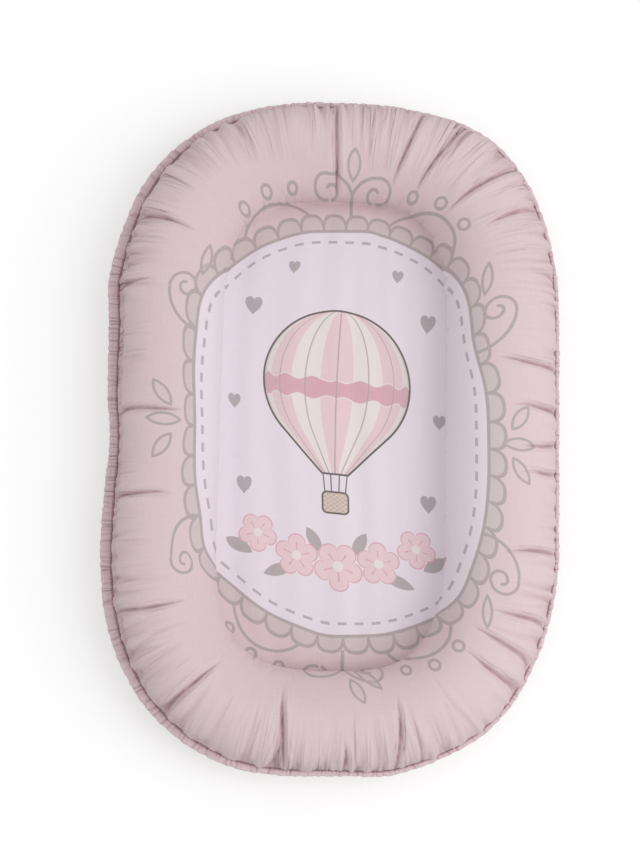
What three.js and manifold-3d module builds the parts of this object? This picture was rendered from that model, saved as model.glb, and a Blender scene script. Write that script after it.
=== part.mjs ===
// Infant lounger, also called a baby nest: a flat padded floor inside a stuffed bolster that runs all round it.
// One printed cotton cover spans the floor and the bolster. It is sewn through to the plain base cover along the
// floor's edge, and both covers end at the rim, where an elastic casing gathers them. The floor's pad goes in and
// comes out through a zip in the underside.
//
// Millimetres. X runs across the nest, Y towards its head end, Z up. The origin is on the ground under the middle.

import * as THREE from 'three';
import Module from 'manifold-3d';
import { mergeVertices } from 'three/addons/utils/BufferGeometryUtils.js';

const wasm = await Module();
wasm.setup();

// The nest as a whole
const OUTER_LENGTH = 900;
const OUTER_WIDTH = 600;
const BOLSTER_HEIGHT = 120;
const BOLSTER_SIDE_WIDTH = 140; // floor seam to rim seam, beside the floor
const BOLSTER_END_WIDTH = 122; // the same at the head and the foot
const END_DEPTH = 240; // length of a rounded end, along the bolster's centre line
const END_SQUARENESS = 2.65; // 2 is an ellipse, and more is squarer
const CLOTH = 1.2; // a cover with its thin lining
const GAP = 0.3; // between pieces that touch

// The bolster's section
const CROWN_SQUARENESS = 2.3;
const RIM_HEIGHT = 52; // of the rim seam above the ground
const BASE_LIFT = 7; // the floor's underside hangs clear of the ground by this
const INNER_FLANK = 26; // how far the base curls under beside the floor seam
const OUTER_FLANK = 40; // how far it curls up towards the rim
const FOLD_DEPTH = 4; // of the gathers in the printed cover
const FOLD_DEPTH_SHARES = [0, 0, 0, 0.05, 0.25, 0.6, 0.9, 1, 0.6]; // from the floor seam to the rim

// The floor pad
const PAD_THICKNESS = 20;
const PAD_CROWN = 2; // how much the middle stands above the shoulder
const PAD_EDGE_INSET = 8; // from the floor seam to the pad's edge
const PAD_SHOULDER_INSET = 24; // from the floor seam to where the pad is at full height
const PAD_MIDDLE_SHARE = 0.5; // a ring halfway in, where the printed cover is rounder than the pad

// The rim: a folded binding round an elastic braid
const CASING_DEPTH = 10;
const CASING_HEIGHT = 12;
const CASING_WALL = 1.5;
const CASING_MOUTH = 4.2;
const RUFFLE_DEPTH = 0.8;
const ELASTIC_WIDTH = 5;
const ELASTIC_THICKNESS = 1.5;

// Sewing thread, laid in both seams
const THREAD = 1;

// The zip, across the underside towards the foot
const ZIP_PLACE_SHARE = 0.63; // of the way from the middle of the floor to its foot end
const ZIP_MARGIN = 13; // from each end of its tapes to the floor seam
const SLOT_WIDTH = 14;
const TAPE_WIDTH = 15;
const TAPE_THICKNESS = 0.7;
const TAPE_TAIL = 10; // past each end of the coil
const COIL_WIDTH = 2.6;
const COIL_THICKNESS = 2.2;
const CHAIN_SLIT = 1.2; // between the two coils, where the slider's post runs
const STOP_LENGTH = 3;
const SLIDER_LENGTH = 11;
const SLIDER_NOSE_WIDTH = 11;
const SLIDER_TAIL_WIDTH = 9.6;
const SLIDER_PLATE = 1.1;
const SLIDER_LIP = 0.8;
const POST_WIDTH = 0.6;
const POST_LENGTH = 2;
const BAIL_LENGTH = 6.4;
const BAIL_WIDTH = 2.4;
const BAIL_WIRE = 0.8;
const BAIL_OPENING = 2.3;
const PULL_LENGTH = 21;
const PULL_WIDTH = 6.4;
const PULL_THICKNESS = 1;
const PULL_WINDOW_LENGTH = 6;
const PULL_WINDOW_WIDTH = 3.6;
const PULL_HOLE_RADIUS = 1.2;
const OVERRUN = 1; // how far a cutting block runs past what it cuts

// Stations: places round the bolster where every ring-shaped piece has a section
const SIDE_STEPS = 4; // on each straight quarter
const END_STEPS = 11; // on each quarter of a rounded end
const QUARTER = SIDE_STEPS + END_STEPS;
const STATIONS = 4 * QUARTER;

const sideReach = OUTER_WIDTH / 2 - CASING_DEPTH - BOLSTER_SIDE_WIDTH / 2;
const endReach = OUTER_LENGTH / 2 - CASING_DEPTH - BOLSTER_END_WIDTH / 2;
const straightReach = endReach - END_DEPTH;

class RoundedEnd extends THREE.Curve {
  getPoint(turn, target = new THREE.Vector3()) {
    const angle = turn * Math.PI / 2;
    const across = Math.max(Math.cos(angle), 0) ** (2 / END_SQUARENESS);
    const along = Math.max(Math.sin(angle), 0) ** (2 / END_SQUARENESS);
    return target.set(sideReach * across, straightReach + END_DEPTH * along, 0);
  }
}

const roundedEnd = new RoundedEnd();
roundedEnd.arcLengthDivisions = 2000;

function quarterStation(step) {
  if (step <= SIDE_STEPS) {
    return { x: sideReach, y: straightReach * step / SIDE_STEPS, nx: 1, ny: 0 };
  }
  const { x, y } = roundedEnd.getPointAt((step - SIDE_STEPS) / END_STEPS);
  const slopeX = (x / sideReach) ** (END_SQUARENESS - 1) / sideReach;
  const slopeY = ((y - straightReach) / END_DEPTH) ** (END_SQUARENESS - 1) / END_DEPTH;
  const steepness = Math.hypot(slopeX, slopeY);
  return { x, y, nx: slopeX / steepness, ny: slopeY / steepness };
}

function stationAt(index) {
  const quarter = Math.floor(index / QUARTER);
  const step = index % QUARTER;
  const { x, y, nx, ny } = quarterStation(quarter % 2 ? QUARTER - step : step);
  const signX = quarter === 0 || quarter === 3 ? 1 : -1;
  const signY = quarter < 2 ? 1 : -1;
  const halfWidth = (BOLSTER_SIDE_WIDTH * nx * nx + BOLSTER_END_WIDTH * ny * ny) / 2;
  return { x: signX * x, y: signY * y, nx: signX * nx, ny: signY * ny, halfWidth };
}

const stations = Array.from({ length: STATIONS }, (_, index) => stationAt(index));

// A row of points, one for each station. place gives { out, up }: how far outside the centre line, and how high.
function ringRow(place) {
  return stations.map((station, index) => {
    const { out, up } = place(station.halfWidth, index);
    return new THREE.Vector3(station.x + station.nx * out, station.y + station.ny * out, up);
  });
}

// A row drawn in towards the middle of the floor
function shrunkRow(row, share, up) {
  return row.map((point) => new THREE.Vector3(point.x * share, point.y * share, up));
}

// Positive for triangles that face outwards, and negative for ones that face inwards
function signedVolume(points, triangles) {
  let volume = 0;
  for (let i = 0; i < triangles.length; i += 3) {
    const [a, b, c] = triangles.slice(i, i + 3).map((k) => points[k]);
    volume += a.dot(b.clone().cross(c));
  }
  return volume;
}

// A closed surface through rows of points. A row of one point is a pole, and wraps joins the last row to the first.
function loft(rows, wraps = false) {
  const points = [];
  const starts = rows.map((row) => {
    points.push(...row);
    return points.length - row.length;
  });
  const triangles = [];
  const lastBand = wraps ? rows.length : rows.length - 1;
  for (let band = 0; band < lastBand; band += 1) {
    const next = (band + 1) % rows.length;
    const around = Math.max(rows[band].length, rows[next].length);
    for (let i = 0; i < around; i += 1) {
      const j = (i + 1) % around;
      const near = (k) => starts[band] + (rows[band].length === 1 ? 0 : k);
      const far = (k) => starts[next] + (rows[next].length === 1 ? 0 : k);
      if (rows[band].length > 1) triangles.push(near(i), near(j), far(j));
      if (rows[next].length > 1) triangles.push(near(i), far(j), far(i));
    }
  }
  if (signedVolume(points, triangles) < 0) triangles.reverse();
  const geometry = new THREE.BufferGeometry();
  geometry.setAttribute('position', new THREE.Float32BufferAttribute(points.flatMap((p) => p.toArray()), 3));
  geometry.setIndex(triangles);
  return geometry;
}

function toSolid(geometry) {
  const bare = geometry.clone();
  bare.deleteAttribute('normal');
  bare.deleteAttribute('uv');
  const merged = mergeVertices(bare);
  return new wasm.Manifold(new wasm.Mesh({
    numProp: 3,
    vertProperties: new Float32Array(merged.attributes.position.array),
    triVerts: new Uint32Array(merged.index.array),
  }));
}

function fromSolid(solid) {
  const { numProp, vertProperties, triVerts } = solid.getMesh();
  const geometry = new THREE.BufferGeometry();
  geometry.setAttribute('position', new THREE.Float32BufferAttribute(vertProperties, numProp));
  geometry.setIndex(Array.from(triVerts));
  return geometry;
}

// A box between two corners, each { x, y, z }
function block(low, high) {
  const size = [high.x - low.x, high.y - low.y, high.z - low.z];
  return new THREE.BoxGeometry(...size)
    .translate((low.x + high.x) / 2, (low.y + high.y) / 2, (low.z + high.z) / 2);
}

function piece(name, geometry, color, roughness, metalness = 0) {
  const mesh = new THREE.Mesh(geometry, new THREE.MeshStandardMaterial({ color, roughness, metalness }));
  mesh.name = name;
  return mesh;
}

// Heights that the pieces share
const baseTop = BASE_LIFT + CLOTH;
const padBottom = baseTop + GAP;
const padShoulder = padBottom + PAD_THICKNESS;
const seamUnderside = baseTop + GAP;
const seamTop = seamUnderside + CLOTH;

// The bolster's upper outline. angle runs from 180 degrees at the floor seam to 0 at the rim.
function crownPlace(halfWidth, angle, inset, floorSeamHeight = seamTop) {
  const turn = THREE.MathUtils.degToRad(angle);
  const across = Math.sign(Math.cos(turn)) * Math.abs(Math.cos(turn)) ** (2 / CROWN_SQUARENESS);
  const rise = Math.max(Math.sin(turn), 0) ** (2 / CROWN_SQUARENESS);
  const foot = angle > 90 ? floorSeamHeight : RIM_HEIGHT + GAP / 2;
  return { out: (halfWidth - inset) * across, up: foot + (BOLSTER_HEIGHT - inset - foot) * rise };
}

// The bolster's lower outline, in two curled flanks with the flat ground contact between them
function innerFlankPlace(halfWidth, angle, inset) {
  const turn = THREE.MathUtils.degToRad(angle);
  return { out: -halfWidth + INNER_FLANK * (1 - Math.cos(turn)), up: inset + BASE_LIFT * (1 - Math.sin(turn)) };
}

function outerFlankPlace(halfWidth, angle, inset) {
  const turn = THREE.MathUtils.degToRad(angle);
  const out = halfWidth - inset * Math.sin(turn) - OUTER_FLANK * (1 - Math.sin(turn));
  return { out, up: (RIM_HEIGHT - GAP / 2) * (1 - Math.cos(turn)) + inset * Math.cos(turn) };
}

// The printed cover. Every second station is the bottom of a gather.
const crownAngles = FOLD_DEPTH_SHARES.map((_, row) => 180 - 180 * row / (FOLD_DEPTH_SHARES.length - 1));
const liningInset = CLOTH + FOLD_DEPTH;
const liningAngles = [0, 30, 60, 90, 120, 150];

function printedCover() {
  const shoulder = ringRow((w) => ({ out: -w - PAD_SHOULDER_INSET, up: padShoulder + GAP + CLOTH }));
  const edge = ringRow((w) => ({ out: -w - PAD_EDGE_INSET, up: (padShoulder + seamTop + GAP + CLOTH) / 2 }));
  const middleTop = padShoulder + PAD_CROWN + GAP + CLOTH;
  const outside = crownAngles.map((angle, row) => ringRow((w, index) => {
    const gather = index % 2 ? FOLD_DEPTH * FOLD_DEPTH_SHARES[row] : 0;
    return crownPlace(w, angle, gather);
  }));
  const lining = liningAngles.map((angle) => ringRow((w) => crownPlace(w, angle, liningInset)));
  const seamBelow = ringRow((w) => ({ out: -w, up: seamUnderside }));
  const shoulderBelow = ringRow((w) => ({ out: -w - PAD_SHOULDER_INSET, up: padShoulder + GAP }));
  return loft([
    [new THREE.Vector3(0, 0, middleTop)],
    shrunkRow(shoulder, PAD_MIDDLE_SHARE, middleTop),
    shoulder,
    edge,
    ...outside,
    ...lining,
    seamBelow,
    shoulderBelow,
    [new THREE.Vector3(0, 0, middleTop - CLOTH)],
  ]);
}

// The stuffing of the bolster, a closed ring that fills the room between the two covers
function bolsterFill() {
  const inset = liningInset + GAP;
  const upper = liningAngles.map((angle) => ringRow((w) => crownPlace(w, angle, inset)));
  const clearance = CLOTH + GAP;
  const lower = [
    ...[90, 45].map((angle) => ringRow((w) => innerFlankPlace(w, angle, clearance))).reverse(),
    ...[0, 30, 60].map((angle) => ringRow((w) => outerFlankPlace(w, angle, clearance))),
  ];
  return loft([...upper, ...lower], true);
}

// How far the floor reaches to each side, at a place along its length
function floorReachAt(place) {
  const seam = ringRow((w) => ({ out: -w, up: seamTop })).slice(0, QUARTER + 1);
  const next = seam.findIndex((point) => point.y > Math.abs(place));
  const [near, far] = [seam[next - 1], seam[next]];
  return near.x + (far.x - near.x) * (Math.abs(place) - near.y) / (far.y - near.y);
}

// The zip's place and heights, from the pad down
const zipPlace = -ZIP_PLACE_SHARE * (endReach - BOLSTER_END_WIDTH / 2);
const tapeBottom = baseTop + GAP;
const tapeTop = tapeBottom + TAPE_THICKNESS;
const coilTop = tapeBottom - GAP;
const coilBottom = coilTop - COIL_THICKNESS;
const upperPlateBottom = tapeTop + GAP;
const upperPlateTop = upperPlateBottom + SLIDER_PLATE;
const lowerPlateTop = coilBottom - GAP;
const lowerPlateBottom = lowerPlateTop - SLIDER_PLATE;
const tapeEnd = floorReachAt(zipPlace) - ZIP_MARGIN;
const coilEnd = tapeEnd - TAPE_TAIL;
const sliderNose = coilEnd + POST_LENGTH + 2 * GAP; // closed, the post stands just past the coils
const sliderMiddle = sliderNose - SLIDER_LENGTH / 2;

function zipBlock(xLow, xHigh, yLow, yHigh, zLow, zHigh) {
  return block({ x: xLow, y: zipPlace + yLow, z: zLow }, { x: xHigh, y: zipPlace + yHigh, z: zHigh });
}

// The plain cover of the underside, with the slot that the zip closes
function baseCover() {
  const outside = [
    ...[0, 45, 90].map((angle) => ringRow((w) => innerFlankPlace(w, angle, 0))),
    ...[0, 30, 60, 90].map((angle) => ringRow((w) => outerFlankPlace(w, angle, 0))),
  ];
  const inside = [
    ...[90, 60, 30, 0].map((angle) => ringRow((w) => outerFlankPlace(w, angle, CLOTH))),
    ...[90, 45, 0].map((angle) => ringRow((w) => innerFlankPlace(w, angle, CLOTH))),
  ];
  const bottomMiddle = [new THREE.Vector3(0, 0, BASE_LIFT)];
  const topMiddle = [new THREE.Vector3(0, 0, baseTop)];
  const shell = loft([bottomMiddle, ...outside, ...inside, topMiddle]);
  const slot = zipBlock(-tapeEnd + STOP_LENGTH, tapeEnd - STOP_LENGTH, -SLOT_WIDTH / 2, SLOT_WIDTH / 2,
    BASE_LIFT - OVERRUN, baseTop + OVERRUN);
  return fromSolid(toSolid(shell).subtract(toSolid(slot)));
}

// The pad, pressed in over the zip's tapes and slider
function mattressPad() {
  const bottomEdge = ringRow((w) => ({ out: -w - PAD_EDGE_INSET, up: padBottom }));
  const shoulder = ringRow((w) => ({ out: -w - PAD_SHOULDER_INSET, up: padShoulder }));
  // The edge stays under the straight line that the cover's lining takes from the shoulder to the seam.
  const edgeShare = PAD_EDGE_INSET / PAD_SHOULDER_INSET;
  const edgeTop = seamUnderside + (padShoulder - seamUnderside) * edgeShare - GAP;
  const topEdge = ringRow((w) => ({ out: -w - PAD_EDGE_INSET, up: edgeTop }));
  const pad = loft([
    [new THREE.Vector3(0, 0, padBottom)],
    bottomEdge,
    topEdge,
    shoulder,
    [new THREE.Vector3(0, 0, padShoulder + PAD_CROWN)],
  ]);
  const tapeRecess = zipBlock(-tapeEnd - GAP, tapeEnd + GAP, -TAPE_WIDTH - GAP, TAPE_WIDTH + GAP,
    padBottom - OVERRUN, tapeTop + GAP);
  const sliderRecess = zipBlock(-sliderNose - GAP, sliderNose + GAP, -SLIDER_NOSE_WIDTH / 2 - GAP,
    SLIDER_NOSE_WIDTH / 2 + GAP, padBottom - OVERRUN, upperPlateTop + GAP);
  return fromSolid(toSolid(pad).subtract(toSolid(tapeRecess)).subtract(toSolid(sliderRecess)));
}

// A point halfway between each two stations, so that a gathered piece can go in and out between them
function withMidpoints(row) {
  return row.flatMap((point, index) => [point, point.clone().lerp(row[(index + 1) % row.length], 0.5)]);
}

// The rim casing is a C in section, open towards the covers' edges. Its outside is drawn in at every second point.
const casingDepth = CASING_DEPTH - GAP;
const casingHalf = CASING_HEIGHT / 2;
const mouthHalf = CASING_MOUTH / 2;

function rimCasing() {
  const outline = (inset) => [
    [0, mouthHalf + CASING_WALL],
    [casingDepth / 2, casingHalf - inset],
    [casingDepth - inset, 0],
  ];
  const hollow = [[0, mouthHalf], [casingDepth / 2, casingHalf - CASING_WALL], [casingDepth - CASING_WALL, 0]];
  const row = ([out, up]) => withMidpoints(ringRow((w) => ({ out: w + GAP + out, up: RIM_HEIGHT + up })));
  const below = (points) => points.slice(0, -1).reverse().map(([out, up]) => [out, -up]);
  const mirrored = (points) => [...points, ...below(points)];
  const plain = mirrored(outline(0)).map(row);
  const drawnIn = mirrored(outline(RUFFLE_DEPTH)).map(row);
  const ruffled = plain.map((points, k) => points.map((point, i) => (i % 2 ? drawnIn[k][i] : point)));
  return loft([...ruffled, ...mirrored(hollow).map(row).reverse()], true);
}

function ringOfSection(section) {
  return loft(section.map(([out, up]) => ringRow((w) => ({ out: w + out, up }))), true);
}

// The elastic is taut, so it sits against the insides of the casing's lips.
function rimElastic() {
  const half = ELASTIC_WIDTH / 2;
  const lipShare = (half + GAP - mouthHalf) / (casingHalf - CASING_WALL - mouthHalf);
  const nearOut = GAP + lipShare * casingDepth / 2;
  const farOut = nearOut + ELASTIC_THICKNESS;
  const low = RIM_HEIGHT - half;
  const high = RIM_HEIGHT + half;
  return ringOfSection([[nearOut, high], [farOut, high], [farOut, low], [nearOut, low]]);
}

// The thread that holds the binding to the covers lies on the casing's inner lip.
function rimSeamThread() {
  const lip = RIM_HEIGHT + mouthHalf + CASING_WALL + GAP;
  return ringOfSection([[GAP, lip], [GAP + THREAD / 2, lip + THREAD], [GAP + THREAD, lip + THREAD / 2]]);
}

// The thread of the floor seam lies in the valley between the pad and the bolster.
function floorSeamThread() {
  const low = seamTop + 3 * GAP;
  const place = (out, up) => ringRow((w) => ({ out: -w - out, up }));
  const rise = THREAD * (padShoulder - seamTop) / PAD_SHOULDER_INSET;
  return loft([place(GAP, low), place(GAP, low + THREAD), place(GAP + THREAD, low + THREAD + rise)], true);
}

// side is 1 towards the head and -1 towards the foot.
function zipTape(side) {
  const near = side * CHAIN_SLIT / 2;
  const far = side * TAPE_WIDTH;
  return zipBlock(-tapeEnd, tapeEnd, Math.min(near, far), Math.max(near, far), tapeBottom, tapeTop);
}

function zipCoil(side) {
  const near = side * CHAIN_SLIT / 2;
  const far = near + side * COIL_WIDTH;
  return zipBlock(-coilEnd, coilEnd, Math.min(near, far), Math.max(near, far), coilBottom, coilTop);
}

function zipTopStop(side) {
  const near = side * CHAIN_SLIT / 2;
  const far = near + side * COIL_WIDTH;
  const start = sliderNose + GAP;
  return zipBlock(start, start + STOP_LENGTH, Math.min(near, far), Math.max(near, far), coilBottom, coilTop);
}

function zipBottomStop() {
  const reach = CHAIN_SLIT / 2 + COIL_WIDTH;
  return zipBlock(-coilEnd - GAP - STOP_LENGTH, -coilEnd - GAP, -reach, reach, coilBottom, coilTop);
}

// The slider's own frame: its middle is at x 0, its nose points to +X, and heights are the nest's.
function zipSlider() {
  const outline = new THREE.Shape();
  const nose = SLIDER_LENGTH / 2;
  const waist = nose - SLIDER_PLATE * 3;
  outline.moveTo(-nose, -SLIDER_TAIL_WIDTH / 2);
  outline.lineTo(waist - SLIDER_PLATE, -SLIDER_TAIL_WIDTH / 2);
  outline.lineTo(waist, -SLIDER_NOSE_WIDTH / 2);
  outline.lineTo(nose, -SLIDER_NOSE_WIDTH / 2 + SLIDER_PLATE);
  outline.lineTo(nose, SLIDER_NOSE_WIDTH / 2 - SLIDER_PLATE);
  outline.lineTo(waist, SLIDER_NOSE_WIDTH / 2);
  outline.lineTo(waist - SLIDER_PLATE, SLIDER_TAIL_WIDTH / 2);
  outline.lineTo(-nose, SLIDER_TAIL_WIDTH / 2);
  const plate = (bottom) => new THREE.ExtrudeGeometry(outline, { depth: SLIDER_PLATE, bevelEnabled: false })
    .translate(0, 0, bottom);
  const box = (xLow, xHigh, yLow, yHigh, zLow, zHigh) => (
    block({ x: xLow, y: yLow, z: zLow }, { x: xHigh, y: yHigh, z: zHigh })
  );
  const sunk = SLIDER_PLATE / 2; // how deep joined parts run into each other
  const lipTop = coilTop - GAP;
  const lipOut = SLIDER_TAIL_WIDTH / 2;
  const bailBottom = lowerPlateBottom - BAIL_OPENING - BAIL_WIRE;
  const bailReach = BAIL_LENGTH / 2;
  const parts = [
    plate(lowerPlateBottom),
    plate(upperPlateBottom),
    box(-nose, waist - SLIDER_PLATE, lipOut - SLIDER_LIP, lipOut, lowerPlateTop - sunk, lipTop),
    box(-nose, waist - SLIDER_PLATE, -lipOut, SLIDER_LIP - lipOut, lowerPlateTop - sunk, lipTop),
    box(nose - POST_LENGTH, nose, -POST_WIDTH / 2, POST_WIDTH / 2, lowerPlateTop - sunk, upperPlateBottom + sunk),
    box(-bailReach, BAIL_WIRE - bailReach, -BAIL_WIDTH / 2, BAIL_WIDTH / 2, bailBottom, lowerPlateBottom + sunk),
    box(bailReach - BAIL_WIRE, bailReach, -BAIL_WIDTH / 2, BAIL_WIDTH / 2, bailBottom, lowerPlateBottom + sunk),
    box(-bailReach, bailReach, -BAIL_WIDTH / 2, BAIL_WIDTH / 2, bailBottom, bailBottom + BAIL_WIRE),
  ];
  return fromSolid(parts.map(toSolid).reduce((whole, part) => whole.add(part)));
}

// The pull tab's own frame: its hinge bar is on the Y axis, and the tab points to -X.
function zipPull() {
  const bar = PULL_THICKNESS / 2;
  const half = PULL_WIDTH / 2;
  const tip = bar - PULL_LENGTH;
  const corner = half / 2;
  const outline = new THREE.Shape();
  outline.moveTo(bar, -half);
  outline.lineTo(bar, half);
  outline.lineTo(tip + corner, half);
  outline.lineTo(tip, half - corner);
  outline.lineTo(tip, corner - half);
  outline.lineTo(tip + corner, -half);
  const windowHole = new THREE.Path();
  windowHole.moveTo(-bar, -PULL_WINDOW_WIDTH / 2);
  windowHole.lineTo(-bar - PULL_WINDOW_LENGTH, -PULL_WINDOW_WIDTH / 2);
  windowHole.lineTo(-bar - PULL_WINDOW_LENGTH, PULL_WINDOW_WIDTH / 2);
  windowHole.lineTo(-bar, PULL_WINDOW_WIDTH / 2);
  const threadHole = new THREE.Path();
  threadHole.absarc(tip + half, 0, PULL_HOLE_RADIUS, 0, 2 * Math.PI, true);
  outline.holes.push(windowHole, threadHole);
  return new THREE.ExtrudeGeometry(outline, { depth: PULL_THICKNESS, bevelEnabled: false, curveSegments: 3 })
    .translate(0, 0, -PULL_THICKNESS / 2);
}

const nest = new THREE.Group();
nest.add(
  piece('top_cover', printedCover(), 0xdcc4c8, 0.85),
  piece('base_cover', baseCover(), 0xd6bcc1, 0.85),
  piece('bolster_fill', bolsterFill(), 0xf4f2ee, 0.95),
  piece('mattress_pad', mattressPad(), 0xf1efe9, 0.95),
  piece('rim_casing', rimCasing(), 0xcfb2b8, 0.85),
  piece('rim_elastic', rimElastic(), 0xf2f0ec, 0.8),
  piece('rim_seam_thread', rimSeamThread(), 0xb4949b, 0.7),
  piece('floor_seam_thread', floorSeamThread(), 0xd9c3c8, 0.7),
);

for (const [end, side] of [['head', 1], ['foot', -1]]) {
  nest.add(
    piece(`zip_tape_${end}`, zipTape(side), 0xe6d3d6, 0.8),
    piece(`zip_coil_${end}`, zipCoil(side), 0xe9dcde, 0.45),
    piece(`zip_top_stop_${end}`, zipTopStop(side), 0xb9b9bc, 0.35, 0.9),
  );
}
nest.add(piece('zip_bottom_stop', zipBottomStop(), 0xb9b9bc, 0.35, 0.9));

const slider = new THREE.Group();
slider.position.set(sliderMiddle, zipPlace, 0);
slider.add(piece('zip_slider', zipSlider(), 0xb9b9bc, 0.35, 0.9));
const pull = piece('zip_pull', zipPull(), 0xb9b9bc, 0.35, 0.9);
pull.position.z = lowerPlateBottom - BAIL_OPENING / 2;
slider.add(pull);
nest.add(slider);

export default nest;
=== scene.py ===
import math

import bmesh
import bpy
import numpy as np
from mathutils import Matrix, Vector
from mathutils.geometry import delaunay_2d_cdt


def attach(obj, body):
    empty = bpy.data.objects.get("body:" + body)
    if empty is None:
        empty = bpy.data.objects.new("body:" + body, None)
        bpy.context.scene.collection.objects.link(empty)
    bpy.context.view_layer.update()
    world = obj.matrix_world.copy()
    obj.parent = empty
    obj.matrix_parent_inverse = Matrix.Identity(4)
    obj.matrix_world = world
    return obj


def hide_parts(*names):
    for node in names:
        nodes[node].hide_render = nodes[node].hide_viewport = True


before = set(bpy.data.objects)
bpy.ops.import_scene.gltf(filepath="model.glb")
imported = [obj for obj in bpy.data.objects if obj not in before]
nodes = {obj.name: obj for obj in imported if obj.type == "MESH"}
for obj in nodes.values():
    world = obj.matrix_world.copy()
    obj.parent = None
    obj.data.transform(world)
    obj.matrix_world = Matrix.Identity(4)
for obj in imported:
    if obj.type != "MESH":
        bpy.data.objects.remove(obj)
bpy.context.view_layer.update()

# 1. The printed cover.
# One oval sheet of printed cotton. It lies over the floor pad, is sewn down all round the floor, swells over
# the stuffed bolster, and is gathered at its outer edge into the casing of the elastic.
SIDE_REACH, END_REACH = 0.220, 0.379  # the middle of the bolster, out from the nest's centre
END_DEPTH, END_SQUARENESS = 0.240, 2.65
SIDE_HALF_WIDTH, END_HALF_WIDTH = 0.070, 0.061
SEAM_HEIGHT, RIM_HEIGHT, CROWN_HEIGHT = 0.0175, 0.05215, 0.120
CROWN_SQUARENESS = 2.3
PAD_SHOULDER, PAD_TOP, PAD_CROWN = 0.024, 0.030, 0.002
SEAM_PULL = 0.014  # how far the sheets can pull the floor seam up into the wadding
CASING_DEPTH, RIM_REACH = 0.0060, 0.010  # the casing's own depth, and how far the rim with it stands out
ROLL_BEARING, ROLL_SPREAD, ROLL_DEPTH = 178, 76, 0.0095  # on the left the casing rolls out, not under,
DIP_SPREAD, DIP_DEPTH = 27, 0.0035  # though less in the middle of that side

# The swellings of the stuffing round the outside: direction, spread (degrees) and height (metres)
SWELLINGS = ((65, 9, 0.009), (140, 6, 0.0045), (187, 15, -0.0065), (255, 12, 0.006), (280, 5, 0.004),
             (307, 9, -0.005))

# The long folds: share of the way round, from +X, at the rim and at the inner end, and how far up the
# section from the floor seam that end lies
LONG_FOLDS = ((0.252, 0.252, 0.028), (0.413, 0.414, 0.143), (0.495, 0.495, 0.097), (0.548, 0.548, 0.109),
              (0.614, 0.617, 0.095), (0.728, 0.720, 0.084), (0.761, 0.760, 0.153), (0.786, 0.794, 0.100),
              (0.038, 0.043, 0.109), (0.013, 0.013, 0.130), (0.992, 0.987, 0.143), (0.973, 0.971, 0.143),
              (0.924, 0.921, 0.117), (0.884, 0.885, 0.111), (0.862, 0.871, 0.095), (0.850, 0.853, 0.102),
              (0.154, 0.156, 0.070), (0.134, 0.131, 0.105), (0.182, 0.190, 0.060), (0.201, 0.211, 0.060),
              (0.375, 0.377, 0.100), (0.664, 0.668, 0.085))


def bell(off, spread, power=2):
    """1 in the middle, falling to nothing a few spreads away."""
    return np.exp(-(off / spread) ** power)


def ramp(length, whole):
    """0 at nothing, rising to 1 at the whole length."""
    return np.clip(length / whole, 0, 1)


def fading(length, whole):
    """1 at nothing, falling to 0 at the whole length."""
    return np.clip(1 - length / whole, 0, 1)


def bearing_of(place):
    """The direction of places from the nest's centre, in degrees from +X."""
    return np.degrees(np.arctan2(place[:, 1], place[:, 0]))


def past_bearing(bearing, middle):
    """How many degrees, from -180 to 180, bearings lie past another."""
    return (bearing - middle + 180) % 360 - 180


def run_along(path):
    """How far along a flat path each of its points lies."""
    return np.r_[0, np.cumsum(np.hypot(*np.diff(path, axis=0).T))]


def points_at(path, run, stops):
    """The points of a path at these distances along it."""
    return np.stack([np.interp(stops, run, places) for places in path.T], -1)


def centre_line(count):
    """Even stations round the middle of the bolster, anticlockwise from +X: places, outward directions, half
    widths of the bolster, and the length of the whole line."""
    straight = END_REACH - END_DEPTH
    turn = np.linspace(0, math.pi / 2, 4001)
    bend_x = SIDE_REACH * np.maximum(np.cos(turn), 0) ** (2 / END_SQUARENESS)
    bend_y = straight + END_DEPTH * np.sin(turn) ** (2 / END_SQUARENESS)
    quarter = np.stack([np.r_[np.full(200, SIDE_REACH), bend_x],
                        np.r_[np.linspace(0, straight, 200, endpoint=False), bend_y]], 1)
    loop = np.concatenate([quarter[:-1], (quarter * (-1, 1))[::-1][:-1], (quarter * (-1, -1))[:-1],
                           (quarter * (1, -1))[::-1][:-1]])
    loop = np.vstack([loop, loop[:1]])
    run = run_along(loop)
    place = points_at(loop, run, np.arange(count) / count * run[-1])
    past = np.maximum(np.abs(place[:, 1]) - straight, 0) / END_DEPTH
    slope = np.stack([np.sign(place[:, 0]) * np.abs(place[:, 0] / SIDE_REACH) ** (END_SQUARENESS - 1) / SIDE_REACH,
                      np.sign(place[:, 1]) * past ** (END_SQUARENESS - 1) / END_DEPTH], 1)
    outward = slope / np.hypot(*slope.T)[:, None]
    half = SIDE_HALF_WIDTH * outward[:, 0] ** 2 + END_HALF_WIDTH * outward[:, 1] ** 2
    return place, outward, half, run[-1]


def swelling(place):
    """How far the stuffing pushes the outside out, or lets it in, at these places."""
    total = np.zeros(len(place))
    for middle, spread, height in SWELLINGS:
        total += height * bell(past_bearing(bearing_of(place), middle), spread)
    return total


def casing_depth(place):
    """How far the ruched casing stands out beyond the cover. It rolls under, except on the left."""
    off = past_bearing(bearing_of(place), ROLL_BEARING)
    return CASING_DEPTH + ROLL_DEPTH * bell(off, ROLL_SPREAD, 4) - DIP_DEPTH * bell(off, DIP_SPREAD)


def rim_push(place):
    """How far the rim lies outside its even oval."""
    return swelling(place) + RIM_REACH - casing_depth(place)


def pull_share(outward):
    """The share of SEAM_PULL that lifts the floor's seam: most on the sides and least at the ends."""
    return np.clip(0.8 * (2 * np.abs(outward[:, 0] * outward[:, 1])) ** 1.2 + 0.35 * outward[:, 1] ** 2
                   + 1.3 * outward[:, 0] ** 8, 0, 1.3)


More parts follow.
